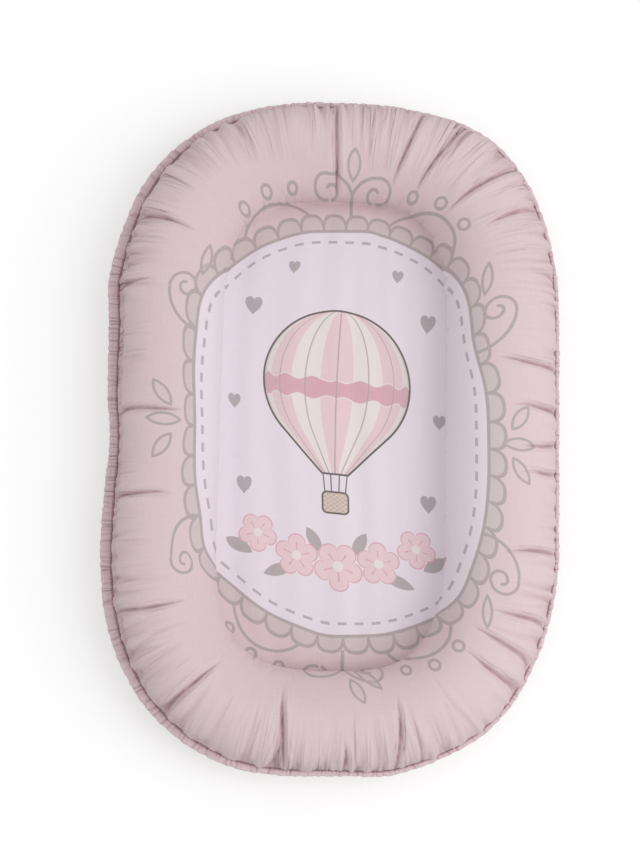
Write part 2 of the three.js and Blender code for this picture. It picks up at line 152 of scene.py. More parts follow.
def crown(angle, half, foot=SEAM_HEIGHT):
    """The bolster's upper section, from the floor seam at half a turn to the rim at nothing."""
    across = np.sign(np.cos(angle)) * np.abs(np.cos(angle)) ** (2 / CROWN_SQUARENESS)
    rise = np.maximum(np.sin(angle), 0) ** (2 / CROWN_SQUARENESS)
    foot = np.where(angle > math.pi / 2, foot, RIM_HEIGHT)
    return half * across, foot + (CROWN_HEIGHT - foot) * rise


def even_angles(count):
    """Section angles that divide the crown's cloth into even steps."""
    fine = np.linspace(math.pi, 0, 4001)
    out, up = crown(fine, (SIDE_HALF_WIDTH + END_HALF_WIDTH) / 2)
    run = run_along(np.stack([out, up], 1))
    return np.interp(np.linspace(0, run[-1], count), run, fine)


class Ring:
    """The bolster's cover before it is gathered: even stations round it, with even rows across the cloth."""

    def __init__(self, around, across):
        self.around, self.across = around, across
        self.centre, self.outward, self.half, self.length = centre_line(around)
        self.push = rim_push(self.centre)
        self.seam_height = SEAM_HEIGHT + SEAM_PULL * pull_share(self.outward)
        self.out, up = crown(even_angles(across)[None, :], self.half[:, None], self.seam_height[:, None])
        step = np.hypot(np.diff(self.out, axis=1), np.diff(up, axis=1))
        self.run = np.concatenate([np.zeros((around, 1)), np.cumsum(step, 1)], 1)  # from the floor seam
        self.left = self.run[:, -1:] - self.run  # to the rim
        shift = self.push[:, None] * ramp(self.run, self.run[:, -1:]) ** 1.3
        plan = self.centre[:, None] + self.outward[:, None] * (self.out + shift)[..., None]
        self.even = np.concatenate([plan, up[..., None]], -1)
        lie = np.cross(np.gradient(self.even, axis=1), np.roll(self.even, -1, 0) - np.roll(self.even, 1, 0))
        self.lie = lie / np.linalg.norm(lie, axis=-1, keepdims=True)  # out of the stuffing
        self.bearing = bearing_of(self.centre)

    def off(self, share):
        """How far each station lies from that share of the way round, in metres along the centre line."""
        return ((np.arange(self.around)[:, None] / self.around - share + 0.5) % 1 - 0.5) * self.length


def ring_faces(around, rows, closed=False, first=0):
    """Quads between the rows of a ring of stations. closed joins the last row to the first."""
    faces = []
    for i in range(around):
        a, b = first + i * rows, first + (i + 1) % around * rows
        for j in range(rows if closed else rows - 1):
            k = (j + 1) % rows
            faces.append((a + j, a + k, b + k, b + j))
    return faces


def make_piece(name, points, faces):
    """A new object from points and faces."""
    mesh = bpy.data.meshes.new(name)
    mesh.from_pydata(np.asarray(points, float).reshape(-1, 3).tolist(), [], faces)
    mesh.update()
    mesh.polygons.foreach_set("use_smooth", [True] * len(mesh.polygons))
    piece = bpy.data.objects.new(name, mesh)
    bpy.context.scene.collection.objects.link(piece)
    return piece


def face_out(piece, upward=0):
    """Turns a closed piece's faces outward, or a sheet's up (1) or down (-1)."""
    check = bmesh.new()
    check.from_mesh(piece.data)
    bmesh.ops.recalc_face_normals(check, faces=check.faces)
    lean = sum(face.normal.z * face.calc_area() for face in check.faces) * upward
    if (lean if upward else check.calc_volume(signed=True)) < 0:
        bmesh.ops.reverse_faces(check, faces=check.faces)
    check.to_mesh(piece.data)
    check.free()


def note(piece, label, kind, values):
    """Keeps one value or vector for each point of the mesh, for its material."""
    attribute = piece.data.attributes.new(label, kind, "POINT")
    attribute.data.foreach_set("value" if kind == "FLOAT" else "vector", np.asarray(values, np.float32).ravel())


def pinch(off, sharpness=1.3):
    """The section of a fold in stuffed cloth: a narrow valley between two puffed shoulders."""
    return np.exp(-np.abs(off) ** sharpness) - 0.3 * bell(off, 3)


def fold_line(ring, rim_share, end_share, end_run):
    """How far off a long fold's middle each point lies, and how far along it: 0 at its inner end, 1 at the rim."""
    along = ramp(ring.run - end_run, ring.run[:, -1:] - end_run)
    middle = end_share + (rim_share - end_share) * along + 0.0006 * np.sin(along * 7 + rim_share * 40)
    return ring.off(middle), along


def long_folds(ring, depth, width, widen):
    """The folds that cross much of the bolster."""
    sunk = np.zeros((ring.around, ring.across))
    for rim_share, end_share, end_run in LONG_FOLDS:
        off, along = fold_line(ring, rim_share, end_share, end_run)
        here = depth * ramp(ring.run - end_run, 0.045) * np.clip(ring.left / 0.040, 0.45, 1)
        sunk -= here * pinch(off / (width + widen * along))
    return sunk


def rim_gathers(ring, count, seed, reaches, widths, depths, on_sides):
    """Radial folds that start at the rim and fade inward: long and close at the two ends, short and few on the
    sides."""
    chance = np.random.default_rng(seed)
    sunk = np.zeros((ring.around, ring.across))
    for _ in range(count):
        share, keep = chance.random(2)
        reach, width, depth = chance.uniform(*reaches), chance.uniform(*widths), chance.uniform(*depths)
        lean, sway, phase = chance.uniform(-0.10, 0.10), chance.uniform(0, 0.0018), chance.uniform(0, 6)
        at_end = abs(math.sin(math.radians(ring.bearing[int(share * ring.around)]))) > 0.62
        if keep > (0.95 if at_end else on_sides):
            continue
        fade = fading(ring.left, reach if at_end else reach * 0.55) ** 0.7
        path = lean * ring.left + sway * np.sin(ring.left / 0.016 + phase)
        sunk -= depth * fade * pinch((ring.off(share) + path) / width)
    return sunk


def seam_puckers(ring, count, seed, depths):
    """Small folds where the floor seam draws the cloth in."""
    chance = np.random.default_rng(seed)
    sunk = np.zeros((ring.around, ring.across))
    for _ in range(count):
        share, reach, width = chance.random(), chance.uniform(0.012, 0.055), chance.uniform(0.0025, 0.0055)
        depth, lean = chance.uniform(*depths), chance.uniform(-0.25, 0.25)
        fade = fading(ring.run, reach) ** 0.8 * ramp(ring.run, 0.003)
        sunk -= depth * fade * pinch((ring.off(share) + lean * ring.run) / width)
    return sunk


def stuff(ring, points, cut, frames, pressure):
    """Lets the stuffing press the gathered cloth out, by Blender's Cloth. cut is the same cloth laid flat, which
    gives its threads their lengths, so that what is too long for the bolster falls into folds."""
    piece = make_piece("stuffing_trial", points, ring_faces(ring.around, ring.across))
    piece.shape_key_add(name="Basis")
    flat = piece.shape_key_add(name="cut")
    flat.data.foreach_set("co", cut.astype(np.float32).ravel())
    index = np.arange(ring.around * ring.across).reshape(ring.around, ring.across)
    sewn = piece.vertex_groups.new(name="sewn")
    sewn.add([int(i) for i in np.r_[index[:, 0], index[:, -1]]], 1.0, "REPLACE")
    cloth = piece.modifiers.new("cloth", "CLOTH")
    cloth.settings.rest_shape_key = flat
    cloth.settings.vertex_group_mass = "sewn"
    cloth.settings.quality = 5
    cloth.settings.mass = 0.05
    cloth.settings.bending_stiffness = 0.3
    cloth.settings.use_pressure = True
    cloth.settings.uniform_pressure_force = pressure
    cloth.settings.effector_weights.gravity = 0
    cloth.collision_settings.use_collision = False
    cloth.point_cache.frame_start, cloth.point_cache.frame_end = 1, frames
    for number in range(1, frames + 1):
        bpy.context.scene.frame_set(number)
    result = piece.evaluated_get(bpy.context.evaluated_depsgraph_get())
    pressed = np.empty(len(piece.data.vertices) * 3, np.float32)
    result.data.vertices.foreach_get("co", pressed)
    bpy.context.scene.frame_set(1)
    mesh = piece.data
    bpy.data.objects.remove(piece)
    bpy.data.meshes.remove(mesh)
    return pressed.reshape(points.shape).astype(float)


def finer(field, around, across):
    """A field on one ring, read again on a finer one."""
    at = np.arange(around) / around * field.shape[0]
    low, share = at.astype(int), (at % 1)[:, None, None]
    wide = field[low] * (1 - share) + field[(low + 1) % field.shape[0]] * share
    at = np.linspace(0, field.shape[1] - 1, across)
    low = np.minimum(at.astype(int), field.shape[1] - 2)
    share = (at - low)[None, :, None]
    return wide[:, low] * (1 - share) + wide[:, low + 1] * share


# The stuffing is tried on a coarse ring, and its result, with crisp creases added, goes on the finer cover
trial = Ring(660, 56)
sunk = (long_folds(trial, depth=0.0070, width=0.0034, widen=0.0018)
        + seam_puckers(trial, 90, seed=22, depths=(0.001, 0.003))
        + rim_gathers(trial, 330, seed=21, reaches=(0.035, 0.125), widths=(0.0032, 0.0060),
                      depths=(0.0025, 0.0055), on_sides=0.45))
cloth = trial.even + trial.lie * sunk[..., None]
SPARE = 0.90  # 1 is a cut with no shaping at all
laid = trial.even[:, :1, :2] + trial.outward[:, None] * SPARE * trial.run[..., None]
cut = np.concatenate([laid, math.sqrt(1 - SPARE ** 2) * trial.run[..., None]], -1)
cloth = stuff(trial, cloth, cut, frames=11, pressure=26.0)

AROUND, ACROSS = 1320, 84
ring = Ring(AROUND, ACROSS)
move = finer(cloth - trial.even, AROUND, ACROSS)
proud = (move * ring.lie).sum(-1)
slide = move - ring.lie * proud[..., None]
# How far the cloth may stand proud of the even form or sink into it, out from the floor's seam and in from the rim.
# Above the wide casing on the left it is flatter.
MOST_PROUD, PROUD_BY, LESS_PROUD, RIM_BAND = 0.006, 0.070, 0.0045, 0.060
LEAST_SUNK, MORE_SUNK, SUNK_BY, SMOOTH_RIM = 0.0008, 0.0170, 0.045, 0.006
FLAT_BEARING, FLAT_SPREAD, FLATTER, FLAT_MIDDLE, FLAT_BAND = 176, 78, 0.0055, 0.022, 0.015
CRISP_SUNK, CRISP_PROUD, CRISP_FADE = 0.006, 0.0012, 0.012
MOST_CREEP, RAW_EDGE_OUT = 0.008, 0.003
most_proud = MOST_PROUD * ramp(ring.run, PROUD_BY) - fading(ring.left, RIM_BAND) * LESS_PROUD
most_sunk = -LEAST_SUNK - MORE_SUNK * ramp(ring.left, SUNK_BY) ** 1.4
proud = np.clip(proud, most_sunk, most_proud) * np.clip(ring.left / SMOOTH_RIM, 0.2, 1)
on_left = bell(past_bearing(ring.bearing, FLAT_BEARING), FLAT_SPREAD, 4)[:, None]
proud = proud - FLATTER * on_left * bell(ring.left - FLAT_MIDDLE, FLAT_BAND)
slide *= np.minimum(1, MOST_CREEP / np.maximum(np.linalg.norm(slide, axis=-1, keepdims=True), 1e-9))
crisp = (long_folds(ring, depth=0.0045, width=0.0019, widen=0.0007)
         + seam_puckers(ring, 130, seed=52, depths=(0.0006, 0.0018))
         + rim_gathers(ring, 170, seed=51, reaches=(0.060, 0.145), widths=(0.0026, 0.0046),
                       depths=(0.0016, 0.0040), on_sides=0.20))
crisp = np.clip(crisp, -CRISP_SUNK, CRISP_PROUD) * ramp(ring.left, CRISP_FADE)
proud = proud + crisp
cover = ring.even + slide + ring.lie * proud[..., None]
tuck = np.concatenate([ring.centre + ring.outward * (ring.half + ring.push + RAW_EDGE_OUT)[:, None],
                       np.full((AROUND, 1), RIM_HEIGHT)], 1)
cover = np.concatenate([cover, tuck[:, None]], 1)  # the raw edge, inside the casing
seam_line = ring.even[:, 0, :2]


def spaced(loop, distance):
    """A closed loop of points, taken again at about that distance."""
    closed = np.vstack([loop, loop[:1]])
    run = run_along(closed)
    count = max(12, round(run[-1] / distance))
    return points_at(closed, run, np.arange(count) * run[-1] / count)


def gap_to(loop, points):
    """How far points lie from a closed loop."""
    if len(loop) > 400:
        loop = loop[::2]
    ends = np.roll(loop, -1, 0) - loop
    gaps = np.full(len(points), 9.0)
    for start in range(0, len(loop), 60):
        a, ab = loop[start:start + 60], ends[start:start + 60]
        ap = points[:, None] - a[None]
        t = ramp((ap * ab).sum(-1), (ab * ab).sum(-1))
        gaps = np.minimum(gaps, np.linalg.norm(ap - t[..., None] * ab, axis=-1).min(1))
    return gaps


def within(loop, points):
    """Which points lie inside a loop."""
    inside = np.zeros(len(points), bool)
    for a, b in zip(loop, np.roll(loop, -1, 0)):
        if a[1] != b[1]:
            crosses = (a[1] > points[:, 1]) != (b[1] > points[:, 1])
            inside ^= crosses & (points[:, 0] < (b[0] - a[0]) * (points[:, 1] - a[1]) / (b[1] - a[1]) + a[0])
    return inside


def fill_loop(loop, inner_loops, grid, holes=()):
    """A fine flat triangle mesh inside a loop, whose own points come first, with holes left out."""
    outlines = [loop, *holes]
    low, high = loop.min(0), loop.max(0)
    gx, gy = np.meshgrid(np.arange(low[0], high[0], grid), np.arange(low[1], high[1], grid * 0.866))
    gx[1::2] += grid / 2
    free = np.stack([gx.ravel(), gy.ravel()], 1)
    free = free[within(loop, free)]
    deepest = max([depth for depth, _ in inner_loops], default=0)
    free = free[gap_to(loop, free) > deepest + grid * 0.6]
    for hole in holes:
        free = free[~within(hole, free)]
        free = free[gap_to(hole, free) > grid * 0.6]
    points = np.concatenate([*outlines, *[inner for _, inner in inner_loops], free])
    edges, first = [], 0
    for outline in outlines:
        edges += [(first + i, first + (i + 1) % len(outline)) for i in range(len(outline))]
        first += len(outline)
    verts, _, faces, origin, _, _ = delaunay_2d_cdt([Vector(p) for p in points], edges, [], 0, 1e-7)
    verts = np.array([tuple(v) for v in verts])
    middles = np.array([verts[list(face)].mean(0) for face in faces])
    keep = within(loop, middles)
    for hole in holes:
        keep &= ~within(hole, middles)
    order = {v: o[0] for v, o in enumerate(origin) if o}
    assert len(order) == len(verts)
    return points, [tuple(order[v] for v in face) for face, kept in zip(faces, keep) if kept]


def inset_loop(depth, distance):
    """The floor's outline, that far in from the seam."""
    return spaced(trial.centre - trial.outward * (trial.half + depth)[:, None], distance)


def nearest_pull_share(points):
    """The pull share of the nearest place on the floor's seam."""
    places = ring.even[::6, 0, :2]
    far = ((points[:, None] - places[None]) ** 2).sum(-1)
    return pull_share(ring.outward)[::6][far.argmin(1)]


def floor_level(points):
    """The printed floor's even height: a valley at the seam, shallower where the seam is pulled up, a rounded
    shoulder, and a low crown. Also how far in from the seam each point lies."""
    inward = gap_to(ring.even[:, 0, :2], points)
    seam = SEAM_HEIGHT + SEAM_PULL * nearest_pull_share(points)
    bulge = 1 - (1 - ramp(inward, PAD_SHOULDER)) ** 1.71
    crowned = PAD_CROWN * (1 - np.exp(-np.maximum(inward - PAD_SHOULDER, 0) / 0.04))
    return seam + (PAD_TOP - seam) * bulge + crowned, inward


# Rows of points that follow the seam: how far in, and how far apart. Within them the points lie on an even grid.
FLOOR_ROWS = ((0.0018, 0.0020), (0.004, 0.0026), (0.007, 0.0032), (0.0105, 0.0036), (0.0145, 0.004),
              (0.019, 0.0045), (0.024, 0.0048))
FLOOR_GRID = 0.0052
rows_in = [(depth, inset_loop(depth, gap)) for depth, gap in FLOOR_ROWS]
floor_points, floor_faces = fill_loop(seam_line, rows_in, FLOOR_GRID)
floor_height, inward = floor_level(floor_points)
x, y = floor_points.T
soft_folds = 0.0009 * np.sin(x / 0.0061 + 1.4 * np.sin(y / 0.12)) * bell(x - 0.055, 0.060)
soft_folds += 0.0010 * np.sin(x / 0.0092 + 0.9 * np.sin(y / 0.09 + 1.0) + 0.6)
soft_folds += 0.0006 * np.sin(y / 0.023 + x / 0.05) * bell(inward, 0.05)
floor_height = floor_height + soft_folds * ramp(inward - 0.006, 0.030)
turn = np.arctan2(y, x)
puckers = np.sin(turn * 61 + 2.5 * np.sin(turn * 9)) * np.clip(np.abs(y) / 0.22 - 0.6, 0, 1)
floor_height += 0.0008 * puckers * ramp(inward, 0.006) * bell(inward, 0.022)

cover_rows = ACROSS + 1
ring_count = AROUND * cover_rows
extra_floor = np.column_stack([floor_points, floor_height])[AROUND:]
corner_of = np.r_[np.arange(AROUND) * cover_rows, np.arange(len(extra_floor)) + ring_count]
printed_cover = make_piece("printed_cover", np.concatenate([cover.reshape(-1, 3), extra_floor]),
                           ring_faces(AROUND, cover_rows) + [tuple(int(corner_of[v]) for v in face)
                                                             for face in floor_faces])
face_out(printed_cover, upward=1)

# The cloth laid flat, in millimetres: the weave and the bake lie on it. The print lies on it too, but the sewers
# took up much of it in the steep inner wall, so that it runs there hardly faster than the wall leans.
WALL_END, WALL_RATE, END_RATE, EDGE_RUN = 0.110, 0.1, 0.1, 0.004
run_out = np.concatenate([ring.run, ring.run[:, -1:] + EDGE_RUN], 1)
wall_rate = WALL_RATE + END_RATE * ring.outward[:, 1:] ** 2
step, lean = np.diff(ring.run, axis=1), np.diff(ring.out, axis=1)
step = np.where(ring.run[:, 1:] < WALL_END, lean * (1 - WALL_RATE) + step * wall_rate, step)
print_run = np.concatenate([np.zeros((AROUND, 1)), np.cumsum(step, 1)], 1)
print_run = np.concatenate([print_run, print_run[:, -1:] + EDGE_RUN], 1)

# Each long fold is pressed to a sharp crease: how far off its middle a point lies, in millimetres, and how sharp
FAR_OFF, FULL_CREASE, CREASE_END, RIM_END = 0.099, 0.006, 0.22, 0.010
crease_off, crease_sharp = np.full(ring.left.shape, FAR_OFF), np.zeros(ring.left.shape)
for fold in LONG_FOLDS:
    off, along = fold_line(ring, *fold)
    sharp = ramp(along, CREASE_END) * ramp(ring.left, RIM_END) * np.clip(2 - np.abs(off) / FULL_CREASE, 0, 1)
    nearer = np.abs(off) < np.abs(crease_off)
    crease_off, crease_sharp = np.where(nearer, off, crease_off), np.where(nearer, sharp, crease_sharp)


def note_ring(label, values, on_edge):
    """note() for the cloth of the ring. The raw edge has the rim's value times on_edge, and the floor has none."""
    values = np.concatenate([values, values[:, -1:] * on_edge], 1).reshape(ring_count, -1)
    note(printed_cover, label, "FLOAT_VECTOR" if values.shape[1] == 3 else "FLOAT",
         np.concatenate([values, np.zeros((len(extra_floor), values.shape[1]))]))


note_ring("long_crease", np.stack([1000 * crease_off, crease_sharp, np.zeros_like(crease_off)], -1), 1)

# How strong and how long the fine gathers are at each bearing from the middle of the nest, and how much longer the
# cloth is than the rim that it is gathered to
GATHER_BEARINGS = (0, 30, 55, 90, 125, 160, 178, 195, 225, 250, 270, 290, 320, 345)
GATHER_STRENGTHS = (0.08, 0.40, 0.80, 0.9, 0.9, 0.80, 0.25, 0.45, 0.8, 0.55, 0.68, 0.40, 0.18, 0.08)
GATHER_REACHES = (0.050, 0.120, 0.140, 0.150, 0.105, 0.085, 0.040, 0.070, 0.115, 0.120, 0.110, 0.100, 0.080, 0.060)
RIM_FULLNESS = 1.25
gather_strength = np.interp(ring.bearing % 360, GATHER_BEARINGS, GATHER_STRENGTHS, period=360)
gather_reach = np.interp(ring.bearing % 360, GATHER_BEARINGS, GATHER_REACHES, period=360)
note_ring("gather", gather_strength[:, None] * fading(ring.left, gather_reach[:, None]) ** 0.6, 0)
# A place for the gathers that closes on itself: round a circle as long as the rim's cloth, and in from the rim
rim_turn = np.arange(AROUND) / AROUND * math.tau
rim_radius = 1000 * ring.length * RIM_FULLNESS / math.tau
rim_x, rim_y = (rim_radius * np.cos(rim_turn))[:, None], (rim_radius * np.sin(rim_turn))[:, None]
note_ring("rim_place", np.stack(np.broadcast_arrays(rim_x, rim_y, 1000 * ring.left), -1), 1)


def laid_flat(run):
    """Each point of the cover on the flat cloth, in millimetres."""
    on_ring = (seam_line[:, None] + ring.outward[:, None] * run[..., None]).reshape(-1, 2)
    return np.concatenate([on_ring, extra_floor[:, :2]]) * 1000


flat_cloth, print_cloth = laid_flat(run_out), laid_flat(print_run)
# The print isn't quite true on the nest: it lies a little aside, slants, bows, and creeps in places, each given
# with its spread and how far it creeps
PRINT_X, PRINT_Y, PRINT_SLANT, PRINT_BOW, BOW_END = 3.8, 4.6, 0.086, 0.000215, 270
CREEPS = (((-182, 140), 42, (6, -3)), ((-192, -20), 75, (-6.5, 0)), ((-110, 245), 60, (-1, 4.5)),
          ((184, 122), 54, (11.5, 1.5)), ((190, -90), 110, (-2.5, 0)), ((95, -255), 40, (0, -4)),
          ((-176, -190), 36, (11, 8)), ((-226, -190), 34, (-10, 0)), ((-20, -275), 32, (0, 5)),
          ((25, 276), 26, (0, -4.5)), ((150, -212), 35, (-4, 4)))
print_x = print_cloth[:, 0] - PRINT_X
print_y = print_cloth[:, 1] - PRINT_Y + PRINT_SLANT * print_x
print_x = print_x - PRINT_BOW * np.minimum(np.abs(print_y), BOW_END) ** 2
for place, spread, creep in CREEPS:
    share = np.exp(-((print_x - place[0]) ** 2 + (print_y - place[1]) ** 2) / spread ** 2)
    print_x, print_y = print_x + creep[0] * share, print_y + creep[1] * share
zero = np.zeros(len(flat_cloth))
note(printed_cover, "print_at", "FLOAT_VECTOR", np.column_stack([print_x, print_y, zero]))
note(printed_cover, "cloth_at", "FLOAT_VECTOR", np.column_stack([flat_cloth, zero]))
# How deep each point sinks in a fold: a mask for the painted shade that darkens the cloth there
note_ring("fold", np.clip(ramp(-proud, 0.010) + ramp(-crisp, 0.004) * 0.7, 0, 1), 0)
bake_map = printed_cover.data.uv_layers.new(name="OFBake")
corner_points = np.empty(len(printed_cover.data.loops), np.int32)
printed_cover.data.loops.foreach_get("vertex_index", corner_points)
MAP_SIZE = 1200  # millimetres of flat cloth across the map
on_map = (flat_cloth[corner_points] + MAP_SIZE / 2) / MAP_SIZE
bake_map.data.foreach_set("uv", on_map.astype(np.float32).ravel())


def dyed(red, green, blue):
    """A colour as seen on a screen, 0 to 255, as the linear colour that a shader takes."""
    shares = [v / 255 for v in (red, green, blue)]
    return (*[v / 12.92 if v <= 0.04045 else ((v + 0.055) / 1.055) ** 2.4 for v in shares], 1.0)


class Wire:
    """What a shader node gives out. A sum of wires and plain values puts the node that works it out in their tree."""

    def __init__(self, socket):
        self.socket, self.tree = socket, socket.id_data

    __add__ = __radd__ = lambda a, b: calc("ADD", a, b)
    __sub__ = lambda a, b: calc("SUBTRACT", a, b)
    __rsub__ = lambda a, b: calc("SUBTRACT", b, a)
    __mul__ = __rmul__ = lambda a, b: calc("MULTIPLY", a, b)
    __truediv__ = lambda a, b: calc("DIVIDE", a, b)
    __pow__ = lambda a, b: calc("POWER", a, b)
    __abs__ = lambda a: calc("ABSOLUTE", a)


def plug(socket, value):
    """Links a wire to a socket, or sets the socket to a plain value."""
    if isinstance(value, Wire):
        value.tree.links.new(value.socket, socket)
    else:
        socket.default_value = value


def node_for(kind, *values):
    """A new node in the tree that the wires among these values belong to."""
    return next(value.tree for value in values if isinstance(value, Wire)).nodes.new("ShaderNode" + kind)


def calc(operation, *values):
    """One sum, of vectors where one of the values is a vector. The length of one, or a dot product, is a number."""
    of_vectors = any(isinstance(value, Wire) and value.socket.type == "VECTOR" for value in values)
    node = node_for("VectorMath" if of_vectors else "Math", *values)
    node.operation = operation
    for socket, value in zip(node.inputs, values):
        plug(socket, value)
    return Wire(node.outputs[1 if operation in ("LENGTH", "DOT_PRODUCT") else 0])


def clamped(value):
    """The sum just made, kept from 0 to 1."""
    value.socket.node.use_clamp = True
    return value


def point_of(x, y):
    """A point from its two places."""
    node = node_for("CombineXYZ", x, y)
    plug(node.inputs[0], x)
    plug(node.inputs[1], y)
    return Wire(node.outputs[0])


def parts_of(vector):
    """The three places of a point."""
    node = node_for("SeparateXYZ", vector)
    plug(node.inputs[0], vector)
    return [Wire(part) for part in node.outputs]


def paint(mask, under, over, blend="MIX"):
    """over painted on under where the mask is 1."""
    node = node_for("Mix", mask, under, over)
    node.data_type, node.blend_type = "RGBA", blend
    for number, value in ((0, mask), (6, under), (7, over)):
        plug(node.inputs[number], value)
    return Wire(node.outputs[2])


def noise(place, scale=1.0, detail=2.0, distortion=0.0, kind="FBM"):
    """Noise that comes and goes about once in each 1 / scale of the place."""
    node = node_for("TexNoise", place)
    node.noise_type = kind
    for label, value in (("Vector", place), ("Scale", scale), ("Detail", detail), ("Distortion", distortion)):
        plug(node.inputs[label], value)
    return Wire(node.outputs[0])


def inside(distance, soft=0.8):
    """1 where the distance from an outline is below zero, with a soft edge."""
    return clamped(distance * (-1 / soft) + 0.5)


def stroke(distance, thickness):
    """A line of that thickness, in millimetres, on an outline."""
    return inside(abs(distance) - thickness * 0.5)


def shader_group(name, vectors, numbers, gives):
    """A new node group: the vectors and numbers that it takes, and the sockets of the numbers that it gives."""
    tree = bpy.data.node_groups.new(name, "ShaderNodeTree")
    for way, kind, labels in (("INPUT", "Vector", vectors), ("INPUT", "Float", numbers), ("OUTPUT", "Float", gives)):
        for label in labels:
            tree.interface.new_socket(label, in_out=way, socket_type="NodeSocket" + kind)
    takes = {socket.name: Wire(socket) for socket in tree.nodes.new("NodeGroupInput").outputs}
    return tree, takes, tree.nodes.new("NodeGroupOutput").inputs


def use(group, **values):
    """Places a node group in the values' tree. Spaces in its input names are written as _."""
    node = node_for("Group", *values.values())
    node.node_tree = group
    for label, value in values.items():
        plug(node.inputs[label.replace("_", " ")], value)
    return {socket.name: Wire(socket) for socket in node.outputs}


# An arc drawn with a round pen: the ring of a circle, kept where it faces one way
arc_pen, takes, gives = shader_group(
    "arc_pen", ("Point", "Centre", "Facing"), ("Radius", "Span Cosine", "Thickness"), ("Ink",))
off = takes["Point"] - takes["Centre"]
far = calc("LENGTH", off)
aim = calc("DOT_PRODUCT", off, takes["Facing"]) / far
kept = clamped((aim - takes["Span Cosine"]) * 24.0 + 0.5)
plug(gives["Ink"], stroke(far - takes["Radius"], takes["Thickness"]) * kept)

# A pointed leaf: two arcs that meet at its tips
leaf_pen, takes, gives = shader_group(
    "leaf_pen", ("Point", "Centre", "Direction"), ("Half Length", "Half Width", "Thickness"), ("Ink", "Fill"))
off = takes["Point"] - takes["Centre"]
along = calc("DOT_PRODUCT", off, takes["Direction"])
beside = calc("LENGTH", calc("CROSS_PRODUCT", off, takes["Direction"]))
squares = takes["Half Length"] ** 2.0 + takes["Half Width"] ** 2.0
bow = squares / (takes["Half Width"] * 2.0)
distance = calc("LENGTH", point_of(beside + (bow - takes["Half Width"]), along)) - bow
plug(gives["Ink"], stroke(distance, takes["Thickness"]))
plug(gives["Fill"], inside(distance))

# A heart: a tilted round on each side of its middle
heart_pen, takes, gives = shader_group("heart_pen", ("Point", "Centre"), ("Size",), ("Fill",))
place = parts_of(takes["Point"] - takes["Centre"])
side = abs(place[0]) / takes["Size"]
reach = calc("LENGTH", point_of(side, place[1] / takes["Size"] - calc("SQRT", side) * 0.75))
plug(gives["Fill"], inside((reach - 0.85) * takes["Size"]))

# A blossom: five round petals about a small eye
blossom_pen, takes, gives = shader_group(
    "blossom_pen", ("Point", "Centre"), ("Size", "Turn"), ("Ink", "Fill", "Eye", "Rib"))
off = takes["Point"] - takes["Centre"]
far = calc("LENGTH", off)
place = parts_of(off)
round_it = calc("ARCTAN2", place[1], place[0]) + takes["Turn"]
wave = abs(calc("COSINE", round_it * 2.5))
distance = far - takes["Size"] * (wave ** 0.5 * 0.42 + 0.58)
plug(gives["Ink"], stroke(distance, 1.8))
plug(gives["Fill"], inside(distance))
plug(gives["Eye"], inside(far - takes["Size"] * 0.22))
plug(gives["Rib"], inside(1.0 - wave - 0.012, 0.01) * inside(far - takes["Size"] * 0.62))

# Plain weave: crossing threads, some of them thicker than their neighbours
plain_weave, takes, gives = shader_group("plain_weave", ("Cloth Place",), ("Threads per mm",), ("Height", "Tone"))
place = parts_of(takes["Cloth Place"])
pitch = takes["Threads per mm"] * math.pi
crossing = calc("SINE", place[0] * pitch) * calc("SINE", place[1] * pitch)
thick = noise(takes["Cloth Place"] * (0.9, 0.035, 1.0)) + noise(takes["Cloth Place"] * (0.035, 0.9, 1.0))
plug(gives["Height"], crossing * 0.25 + thick)
plug(gives["Tone"], thick - 1.0)

# Small creases that the hand leaves in cotton
hand_creases, takes, gives = shader_group("hand_creases", ("Cloth Place",), ("Size",), ("Height",))
scaled = takes["Cloth Place"] / takes["Size"]
total = 0.0
for scale, share in ((1.0, 0.6), (2.7, 0.3)):
    total = total + noise(scaled, scale, 1.0, kind="RIDGED_MULTIFRACTAL") * share
plug(gives["Height"], total)

# Fine gathers: long creases that run in from the rim, where the elastic takes the cloth up
fine_gathers, takes, gives = shader_group("fine_gathers", ("Rim Place",), (), ("Height", "Line"))
height, line = 0.0, 0.0
for pitch, length, breadth, share in ((27.0, 330.0, 0.075, 0.62), (13.0, 120.0, 0.10, 0.38)):
    swell = noise(takes["Rim Place"] * (1 / pitch, 1 / pitch, 1 / length), 1.0, 1.5, 0.35)
    crease = clamped(1.0 - abs(swell - 0.5) / breadth)
    line = crease * share + line
    height = height + (swell * 1.6 + crease * -1.0) * share
# They come in bunches, with calmer cloth between
bunch = clamped(noise(takes["Rim Place"] * (1 / 75, 1 / 75, 1 / 120), 1.0, 1.0) * 4.5 + -1.5) * 0.75 + 0.25
height, line = height * bunch, line * bunch
plug(gives["Height"], height)
# Line marks where the creases lie: a mask for the painted shade along them
plug(gives["Line"], line)

# Sharp creases: a thin line down the middle of each long fold, with a fainter one that runs beside it in places
sharp_creases, takes, gives = shader_group("sharp_creases", ("Cloth Place",), ("Off", "Sharp"), ("Line",))
stray = noise(takes["Cloth Place"], 1 / 26, 1.0)
off = stray * 5.0 + (takes["Off"] + -2.5)
line = 0.0
for aside, breadth, strength in ((0.0, 1.5, 1.0), (5.2, 1.3, 0.6), (-6.0, 1.3, 0.35)):
    line = clamped(1.0 - abs(off - aside) / breadth) * strength + line
# The line dents the bump, and is also a mask for the painted shade along the crease
plug(gives["Line"], line * clamped(stray * 2.2 + -0.35) * takes["Sharp"])


def material(name):
    """A new material: its node tree and its shader's inputs."""
    made = bpy.data.materials.new(name)
    made.use_nodes = True
    return made, made.node_tree, made.node_tree.nodes["Principled BSDF"].inputs


def read(tree, label, output="Vector"):
    """What note() kept in the mesh under that label."""
    node = tree.nodes.new("ShaderNodeAttribute")
    node.attribute_name = label
    return Wire(node.outputs[output])


